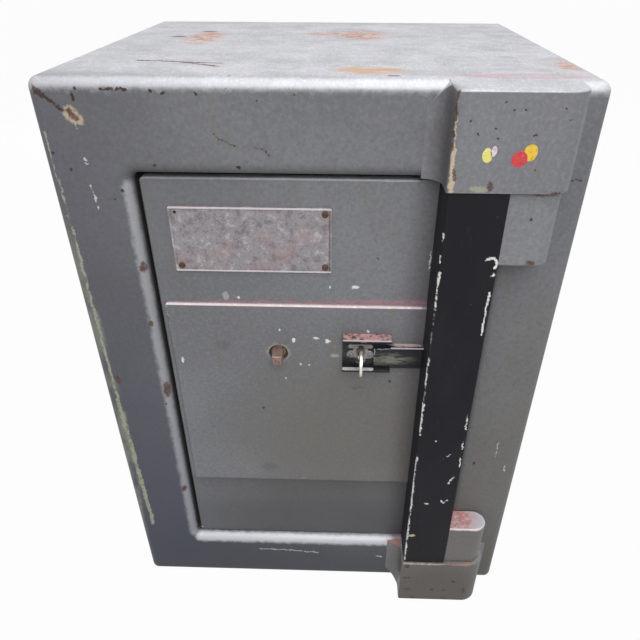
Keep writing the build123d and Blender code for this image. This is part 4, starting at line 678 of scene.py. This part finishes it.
def post_paint():
    """The post: black enamel knocked white along both front edges."""
    surface = black_paint("post paint")
    left, right = POST_LEFT, POST_RIGHT
    masks = marks(surface, [
        ([(left, 563), (left, 556)], 2.4), ([(left, 541), (left, 535)], 2.4),
        ([(left, 524), (left, 483)], 2.4), ([(left, 363), (left, 317)], 2.4),
        ([(left, 424), (left - 0.6, 409), (left + 0.8, 404), (left, 390)], 2.4),
    ], POST_FRONT)
    dim = marks(surface, [
        ([(left, 478), (left, 466)], 1.7), ([(left, 456), (left, 436)], 1.7),
        ([(left, 388), (left, 368)], 1.7),
    ], POST_FRONT)
    lay_chips(surface, dim, screen(136, 134, 138), 0.9)
    long_run = front_line(surface, [(left, 283), (left, 90)], 2.6, POST_FRONT)
    gaps = surface.clouds(0.36, 0.44, 9 * MM, 4.0, 0.6, stretch=(1, 1, 2), shift=5.0)
    masks.append(surface.both(long_run, gaps))
    masks += marks(surface, [
        ([(161, 538), (167, 540), (170, 537), (170, 530)], 3.0), (169, 522, 3, 3),
        ([(right, 503), (right, 455)], 2.2), ([(right + 1, 350), (right + 1, 327)], 1.8),
        ([(right + 1, 307), (right + 1, 296)], 1.6), ([(right + 1, 282), (right + 1, 267)], 1.6),
        ([(145, 277), (151, 282), (157, 287)], 1.6), ([(159, 238), (165, 250)], 2.0),
        ([(154, 208), (157, 203), (162, 209)], 1.6), (137, 201, 6, 2.6), (138, 308, 2.6, 2.6),
    ], POST_FRONT)
    lay_chips(surface, masks)
    lay_chips(surface, marks(surface, [(123, 139, 10, 5)], POST_FRONT), CREAM)
    return surface.finish(Specular_IOR_Level=POST_SHINE)


def guard_paint():
    """Keyhole guard and its channel: black, the flanges rubbed to primer and bare metal."""
    surface = black_paint("guard paint")
    top = surface.spot((54, -230, 426.8), (32, 9, 2.5), soft=0.3)
    rubbed = surface.clouds(0.38, 0.52, 5 * MM, 6.0, 0.76, shift=8.0)
    blush = surface.clouds(0.5, 0.62, 9 * MM, 4.0, 0.6, shift=2.0)
    rubbed_top = surface.both(top, rubbed)
    top_tone = surface.mix(blush, screen(186, 146, 148), screen(192, 144, 128))
    lay_chips(surface, [rubbed_top], top_tone)
    track = surface.spot((99, -226, 414.6), (20, 3.6, 1.6), soft=0.6)
    lay_chips(surface, [track], screen(186, 162, 164))
    rims = [
        surface.stroke((28, -237, 426.2), (80, -237, 426.2), 1.9, straight=True),
        surface.stroke((81, -232, 413.9), (116, -232, 413.9), 1.9, straight=True),
    ]
    lay_chips(surface, [surface.most(rims)], screen(184, 176, 180))
    floor = surface.stroke((29, -235, 387.6), (60, -235, 387.6), 4.6, straight=True)
    lay_chips(surface, [floor], screen(186, 186, 192))
    web = surface.spot((56, -225.5, 405), (34, 3, 22), soft=0.4)
    streaks = surface.clouds(0.42, 0.58, 7 * MM, 5.0, 0.7, stretch=(2.5, 1, 1), shift=6.0)
    surface.tint(surface.both(web, streaks), 0.3, screen(96, 94, 92), 0.5, 0.3)
    return surface.finish(Specular_IOR_Level=GUARD_SHINE)


def cover_paint():
    """The sliding keyhole cover: black enamel rubbed through to grey metal along its middle."""
    surface = black_paint("cover paint")
    middle = surface.spot((76, -231, 398.5), (26, 4, 7), soft=1.0)
    streaks = surface.noise(5 * MM, 6.0, 0.72, stretch=(4.5, 1, 1), shift=3.0)
    rubbed = surface.both(middle, surface.step(streaks, 0.4, 0.56))
    surface.tint(rubbed, 0.75, screen(132, 132, 122), 0.45, 0.3)
    edges = [
        surface.stroke((62.4, -231, 412), (62.4, -231, 389), 1.4),
        surface.both(surface.stroke((63, -231, 412.4), (82, -231, 412.4), 1.6),
                     surface.clouds(0.4, 0.5, 6 * MM)),
    ]
    lay_chips(surface, edges, screen(168, 166, 168), 0.9)
    return surface.finish(Specular_IOR_Level=ENAMEL_SHINE)


def cast_alloy():
    """Die-cast nameplate alloy, dull, pitted and pinkish grey, with painted highlights on its rims
    and painted shade beside them.
    """
    surface = Surface("cast alloy", screen(144, 139, 143), 0.52, 0.3)
    patches = surface.noise(8 * MM, 6.0, 0.76)
    surface.tint(surface.step(patches, 0.49, 0.4), 0.65, screen(104, 101, 105), 0.6)
    surface.cover(surface.step(patches, 0.54, 0.64), screen(178, 172, 176), 0.42)
    pits = surface.noise(2.4 * MM, 5.0, 0.75, shift=3.0)
    surface.tint(surface.step(pits, 0.45, 0.35), 0.65, screen(96, 86, 88), 0.75, 0.1)
    surface.swell(pits, 0.16 * MM)
    blush = surface.noise(34 * MM, 4.0, 0.6, shift=11.0)
    surface.tint(surface.step(blush, 0.5, 0.66), 0.3, screen(170, 136, 134), 0.65, 0.2)
    # Painted highlights along the raised top and bottom rims
    rim = [
        front_line(surface, [(-147, 567.9), (13, 567.9)], 1.9, NAMEPLATE_FRONT, straight=True),
        front_line(surface, [(-147, 500.2), (13, 500.2)], 1.6, NAMEPLATE_FRONT, straight=True),
    ]
    lay_chips(surface, rim, screen(214, 204, 206), 0.9)
    # Painted shade along the right inside edge and under the top rim
    shade = front_line(surface, [(12, 565.6), (12, 502)], 1.5, NAMEPLATE_FRONT, straight=True)
    gap = front_line(surface, [(-144, 565.8), (11, 565.8)], 1.0, NAMEPLATE_FRONT, straight=True)
    surface.tint(surface.maths("MAXIMUM", shade, gap), 0.7, screen(84, 66, 70), 0.7)
    return surface.finish()


def inner_paint():
    """Pale buff paint of the inside, with faint runs, handling marks and dust, darkened near the
    front as painted shade in the door gap.
    """
    surface = Surface("inner paint", screen(150, 146, 134), 0.55)
    cloud = surface.noise(120 * MM, 4.0, 0.6)
    surface.cover(surface.step(cloud, 0.42, 0.64), screen(164, 160, 148), 0.5)
    runs = surface.noise(20 * MM, 4.0, 0.6, stretch=(1, 1, 6), shift=3.0)
    surface.tint(surface.step(runs, 0.55, 0.72), 0.4, screen(126, 120, 106), 0.62)
    surface.cover(surface.specks(34 * MM, 1.3 * MM, 0.45), RUST_DARK, 0.8)
    # Painted shade: the lining made nearly black near the front, so the door gap reads dark
    grime = surface.spot((0, FRONT, 330), (700, 34, 1000), soft=0.7)
    surface.tint(grime, 0.9, screen(40, 38, 36), 0.7)
    surface.swell(surface.noise(2.6 * MM, 3.0, 0.6), 0.05 * MM)
    surface.swell(surface.noise(12 * MM, 2.0, 0.5), 0.06 * MM)
    return surface.finish()


def filling():
    """Fire-resisting filling: a dry mineral mix with grit and air holes."""
    surface = Surface("fire filling", screen(176, 168, 150), 0.95)
    surface.cover(surface.clouds(0.45, 0.65, 24 * MM, 5.0, 0.7), screen(156, 148, 130), 0.95)
    grit = surface.cells(3.5 * MM)
    surface.cover(surface.step(grit.outputs["Distance"], 0.3, 0.1), screen(120, 112, 98), 0.9)
    surface.swell(surface.noise(2.0 * MM, 4.0, 0.7), 0.5 * MM)
    surface.swell(surface.specks(9 * MM, 1.6 * MM, 0.5), -0.8 * MM)
    return surface.finish()


def bare_steel(name, colour=(122, 122, 124), lines=(1, 1, 14)):
    """Machined steel under old oil: fine tool lines, brown film and specks of rust."""
    surface = Surface(name, screen(*colour), 0.34, 1.0)
    tool = surface.noise(0.7 * MM, 3.0, 0.6, stretch=lines)
    surface.cover(surface.step(tool, 0.4, 0.7), tinted(screen(*colour), 1.3), 0.26)
    film = surface.noise(26 * MM, 5.0, 0.62, shift=5.0)
    surface.tint(surface.step(film, 0.48, 0.68), 0.55, screen(96, 80, 62), 0.5)
    spots = surface.noise(7 * MM, 5.0, 0.7, shift=7.0)
    rusty = surface.step(spots, 0.66, 0.72)
    surface.cover(rusty, rust_colour(surface, 4 * MM), 0.85, 0.1)
    surface.swell(tool, 0.012 * MM)
    surface.swell(rusty, 0.05 * MM)
    return surface.finish()


def rusty_steel(name, metal, rust_from):
    """Screws, rivets and the spindle's stub: rusted steel with some metal left."""
    surface = Surface(name, screen(*metal), 0.6, 0.5)
    cloud = surface.noise(4.5 * MM, 5.0, 0.7)
    rusty = surface.step(cloud, rust_from, rust_from + 0.16)
    surface.cover(rusty, rust_colour(surface, 5 * MM), 0.85, 0.1)
    surface.swell(surface.noise(1.1 * MM, 4.0, 0.7), 0.14 * MM)
    return surface.finish()


def plated_steel():
    """Nickel plate gone dull, freckled with rust where it has lifted, and painted shade in the
    keyhole.
    """
    surface = Surface("plated steel", screen(146, 142, 141), 0.42, 0.45)
    dull = surface.clouds(0.48, 0.6, 4 * MM, 5.0, 0.7)
    surface.tint(dull, 0.5, screen(84, 80, 80), 0.5)
    # Painted shade: black in and around the keyhole
    keyhole_shade = surface.spot((47.2, -230, 409.5), (4.2, 6, 5.5), soft=0.3)
    surface.tint(keyhole_shade, 0.95, screen(20, 18, 20), 0.8, 0.0)
    grime = surface.spot((36, -230, 394), (13, 6, 5), soft=0.6)
    surface.tint(grime, 0.85, screen(30, 28, 30), 0.7, 0.0)
    freckles = surface.clouds(0.6, 0.68, 2.0 * MM, 4.0, 0.7, shift=4.0)
    surface.cover(freckles, rust_colour(surface, 3 * MM), 0.8, 0.1)
    surface.swell(freckles, 0.04 * MM)
    return surface.finish()


def key_metal():
    """The key: bright nickel with small scratches, and painted shade where it runs back into the
    lock.
    """
    surface = Surface("key metal", screen(226, 222, 214), 0.26, 0.9)
    surface.cover(surface.clouds(0.56, 0.74, 8 * MM, 4.0, 0.6), screen(176, 160, 134), 0.36)
    scratches = surface.noise(0.6 * MM, 3.0, 0.6, stretch=(8, 1, 1))
    surface.tint(surface.step(scratches, 0.55, 0.7), 0.6, screen(120, 112, 98), 0.4)
    # Painted shade on the part of the key that goes into the keyhole
    deep_shade = surface.step(surface.axis(surface.place, "Y"), -241 * MM, -237 * MM)
    surface.tint(deep_shade, 0.85, screen(62, 58, 58), 0.5, 0.4)
    surface.swell(scratches, 0.015 * MM)
    return surface.finish()


def brass():
    """Lock brass: yellow where it rubs, brown and dull elsewhere."""
    surface = Surface("brass", screen(182, 148, 82), 0.3, 1.0)
    surface.cover(surface.clouds(0.42, 0.62, 10 * MM, 4.0, 0.6), screen(140, 108, 62), 0.44)
    lines = surface.noise(0.5 * MM, 3.0, 0.6, stretch=(1, 1, 12))
    surface.tint(surface.step(lines, 0.5, 0.7), 0.5, screen(206, 176, 108), 0.22)
    surface.swell(lines, 0.012 * MM)
    grime = surface.spot((SPINDLE_X, DOOR_FRONT, SPINDLE_Z), (16, 24, 16), soft=0.6)
    surface.tint(grime, 0.92, screen(52, 42, 38), 0.7, 0.1)
    return surface.finish()


def paper(name, colour, worn):
    """A paper sticker: mottled ink, with the worn colour showing where it is rubbed."""
    surface = Surface(name, screen(*colour), 0.62)
    cloud = surface.noise(2.6 * MM, 5.0, 0.7)
    surface.cover(surface.step(cloud, 0.56, 0.64), screen(*worn), 0.72)
    fibre = surface.noise(0.9 * MM, 3.0, 0.6, shift=2.0)
    surface.tint(surface.step(fibre, 0.36, 0.26), 0.35, SOOT, 0.8)
    stain = surface.noise(5 * MM, 4.0, 0.65, shift=9.0)
    surface.tint(surface.step(stain, 0.46, 0.32), 0.5, tinted(screen(*colour), 0.35), 0.8)
    surface.swell(fibre, 0.03 * MM)
    return surface.finish()


def dress(material, *names):
    """Gives the material to nodes of the model."""
    for name in names:
        holder = nodes[name].data.materials
        holder.clear()
        holder.append(material)


dress(body_paint(), "body_casing", "back_plate")
dress(casting_paint(), "upper_hinge_casting", "lower_hinge_casting")
dress(knuckle_paint(), "upper_hinge_knuckle", "lower_hinge_knuckle")
dress(door_paint(), "door_plate", "armour_plate")
dress(post_paint(), "hinge_post")
dress(guard_paint(), "keyhole_guard", "guide_channel")
dress(cover_paint(), "keyhole_cover")
dress(cast_alloy(), "nameplate")
dress(inner_paint(), "door_frame", "door_pan", "door_back_plate", "chamber_lining", "shelf",
      "shelf_bearers")
dress(filling(), "fire_filling", "door_filling")
dress(rusty_steel("screw rust", (74, 58, 58), rust_from=0.36), "nameplate_screws",
      "back_plate_screws", "bearer_rivets")
dress(rusty_steel("spindle steel", (140, 118, 110), rust_from=0.5), "handle_spindle")
dress(plated_steel(), "escutcheon", "escutcheon_screws")
dress(key_metal(), "key")
dress(brass(), "lever_1", "lever_2", "lever_3", "lever_4", "bolt_bushes", "spindle_bush",
      "thrust_washer")
dress(bare_steel("bolt steel", lines=(14, 1, 1)), "lower_bolt", "middle_bolt", "upper_bolt",
      "dog_bolts", "bolt_carrier", "carrier_studs")
dress(bare_steel("lock steel", colour=(112, 112, 112)), "lock_case", "lock_cover", "lock_bolt",
      "lock_bolt_guide", "lock_screws", "lever_post", "spindle_crank", "crank_pin", "bolt_nuts",
      "dog_nuts", "bolt_sockets", "upper_hinge_pin", "lower_hinge_pin")


def new_piece(name, mesh, material, body):
    """A mesh object that rides a body, with the finish slot it belongs to."""
    mesh.materials.append(material)
    piece = bpy.data.objects.new(name, mesh)
    bpy.context.scene.collection.objects.link(piece)
    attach(piece, body)
    return piece


def sticker(name, x, z, radius_x, radius_z, material, proud=STICKER_PROUD, bite=None):
    """A thin paper dot on the upper casting. Its rim is uneven, and torn towards a bite's angle."""
    shape = bmesh.new()
    rings = {}
    face = CASTING_FRONT * MM
    for level, y in enumerate((face + STICKER_THICKNESS, face - proud)):
        rim = []
        for step in range(STICKER_STEPS):
            turn = 2 * math.pi * step / STICKER_STEPS
            wobble = 1 + 0.025 * math.sin(3 * turn + x) + 0.018 * math.sin(7 * turn + z)
            if bite:
                facing = max(0.0, math.cos(turn - bite))
                wobble *= 1 - 0.42 * facing ** 2 - 0.10 * facing * math.sin(9 * turn)
            across = x * MM + radius_x * MM * wobble * math.cos(turn)
            upward = z * MM + radius_z * MM * wobble * math.sin(turn)
            rim.append(shape.verts.new((across, y, upward)))
        rings[level] = rim
    shape.faces.new(rings[1])
    shape.faces.new(list(reversed(rings[0])))
    for step in range(STICKER_STEPS):
        after = (step + 1) % STICKER_STEPS
        shape.faces.new((rings[0][step], rings[0][after], rings[1][after], rings[1][step]))
    bmesh.ops.recalc_face_normals(shape, faces=shape.faces)
    mesh = bpy.data.meshes.new(name)
    shape.to_mesh(mesh)
    shape.free()
    return new_piece(name, mesh, material, "safe_body")


yellow_paper = paper("yellow paper", (222, 214, 112), (236, 232, 208))
white_paper = paper("white paper", (216, 206, 208), (186, 170, 172))
red_paper = paper("red paper", (196, 62, 66), (214, 98, 100))
amber_paper = paper("amber paper", (226, 190, 62), (216, 160, 60))
sticker("sticker_pale", 146.3, 635, 4.9, 6.2, yellow_paper, bite=0.3)
sticker("sticker_torn", 150.4, 638.5, 3.0, 4.4, white_paper, bite=2.6)
sticker("sticker_amber", 181.6, 637.5, 5.6, 7.0, amber_paper, proud=AMBER_PROUD)
sticker("sticker_red", 173.1, 632, 6.8, 6.8, red_paper)


def daylight_mask(tree):
    """1 for what the camera sees straight, by a mirror or through glass."""
    path = tree.nodes.new("ShaderNodeLightPath")
    seen = path.outputs["Is Camera Ray"]
    for other in ("Is Glossy Ray", "Is Transmission Ray"):
        joined = tree.nodes.new("ShaderNodeMath")
        joined.operation = "MAXIMUM"
        tree.links.new(seen, joined.inputs[0])
        tree.links.new(path.outputs[other], joined.inputs[1])
        seen = joined.outputs[0]
    return seen


def floor_material():
    """Pale floor that reads as the white backdrop but keeps the object's shadow."""
    material = bpy.data.materials.new("pale floor")
    material.use_nodes = True
    tree = material.node_tree
    tree.nodes.clear()
    plain = tree.nodes.new("ShaderNodeBsdfDiffuse")
    plain.inputs["Color"].default_value = (FLOOR_GREY, FLOOR_GREY, FLOOR_GREY, 1)
    glow = tree.nodes.new("ShaderNodeEmission")
    glow.inputs["Color"].default_value = WHITE
    glow.inputs["Strength"].default_value = 1.0
    share = tree.nodes.new("ShaderNodeMath")
    share.operation = "MULTIPLY"
    tree.links.new(daylight_mask(tree), share.inputs[0])
    share.inputs[1].default_value = FLOOR_GLOW
    mixed = tree.nodes.new("ShaderNodeMixShader")
    tree.links.new(share.outputs[0], mixed.inputs[0])
    tree.links.new(plain.outputs[0], mixed.inputs[1])
    tree.links.new(glow.outputs[0], mixed.inputs[2])
    output = tree.nodes.new("ShaderNodeOutputMaterial")
    tree.links.new(mixed.outputs[0], output.inputs["Surface"])
    return material


def build_floor():
    """One wide plane under the safe."""
    mesh = bpy.data.meshes.new("floor")
    corners = [(-FLOOR_HALF, -FLOOR_HALF, 0), (FLOOR_HALF, -FLOOR_HALF, 0),
               (FLOOR_HALF, FLOOR_HALF, 0), (-FLOOR_HALF, FLOOR_HALF, 0)]
    mesh.from_pydata(corners, [], [(0, 1, 2, 3)])
    mesh.materials.append(floor_material())
    floor = bpy.data.objects.new("floor", mesh)
    bpy.context.scene.collection.objects.link(floor)


def build_world():
    """Soft even light, with a white surround for what is seen or mirrored."""
    world = bpy.data.worlds.new("surround")
    bpy.context.scene.world = world
    world.use_nodes = True
    tree = world.node_tree
    tree.nodes.clear()
    soft = tree.nodes.new("ShaderNodeBackground")
    soft.inputs["Color"].default_value = DAYLIGHT
    soft.inputs["Strength"].default_value = AMBIENT
    white = tree.nodes.new("ShaderNodeBackground")
    white.inputs["Color"].default_value = WHITE
    white.inputs["Strength"].default_value = 1.0
    mixed = tree.nodes.new("ShaderNodeMixShader")
    tree.links.new(daylight_mask(tree), mixed.inputs[0])
    tree.links.new(soft.outputs[0], mixed.inputs[1])
    tree.links.new(white.outputs[0], mixed.inputs[2])
    output = tree.nodes.new("ShaderNodeOutputWorld")
    tree.links.new(mixed.outputs[0], output.inputs["Surface"])


def softbox(name, place, target, size, power, glints=True):
    """A square soft lamp at a place, facing a target. Without glints it isn't mirrored."""
    lamp = bpy.data.lights.new(name, "AREA")
    lamp.shape = "SQUARE"
    lamp.size = size
    lamp.energy = power
    holder = bpy.data.objects.new(name, lamp)
    bpy.context.scene.collection.objects.link(holder)
    holder.visible_glossy = glints
    way = Vector(target) - Vector(place)
    turn = way.to_track_quat("-Z", "Y").to_matrix().to_4x4()
    holder.matrix_world = Matrix.Translation(place) @ turn


def build_camera():
    """Camera at the photograph's place, found by fitting the body's straight edges."""
    pitch = math.radians(CAMERA_PITCH)
    yaw = math.radians(CAMERA_YAW)
    roll = math.radians(CAMERA_ROLL)
    forward = math.cos(pitch)
    ahead = Vector((-math.sin(yaw) * forward, math.cos(yaw) * forward, -math.sin(pitch)))
    level = Vector((math.cos(yaw), math.sin(yaw), 0))
    rise = level.cross(ahead)
    right = level * math.cos(roll) + rise * math.sin(roll)
    up = rise * math.cos(roll) - level * math.sin(roll)
    lens = bpy.data.cameras.new("camera")
    lens.sensor_width = SENSOR_WIDTH
    lens.lens = FOCAL_LENGTH
    lens.shift_x, lens.shift_y = LENS_SHIFT
    holder = bpy.data.objects.new("camera", lens)
    bpy.context.scene.collection.objects.link(holder)
    turn = Matrix((right, up, -ahead)).transposed().to_4x4()
    holder.matrix_world = Matrix.Translation(CAMERA_PLACE) @ turn
    bpy.context.scene.camera = holder


build_floor()
build_world()
softbox("overhead", (0.1, -0.35, 2.5), (0, -0.1, 0.5), size=2.0, power=36)
softbox("key", (0.4, -1.95, 1.9), (0.0, -0.2, 0.4), size=1.5, power=37)
softbox("front fill", (-1.0, -2.6, 1.6), (0, -0.2, 0.4), size=1.8, power=8)
softbox("back fill", (-1.2, 2.6, 0.9), (0, 0, 0.35), size=1.2, power=24, glints=False)
build_camera()
bpy.context.scene.view_settings.view_transform = "Standard"
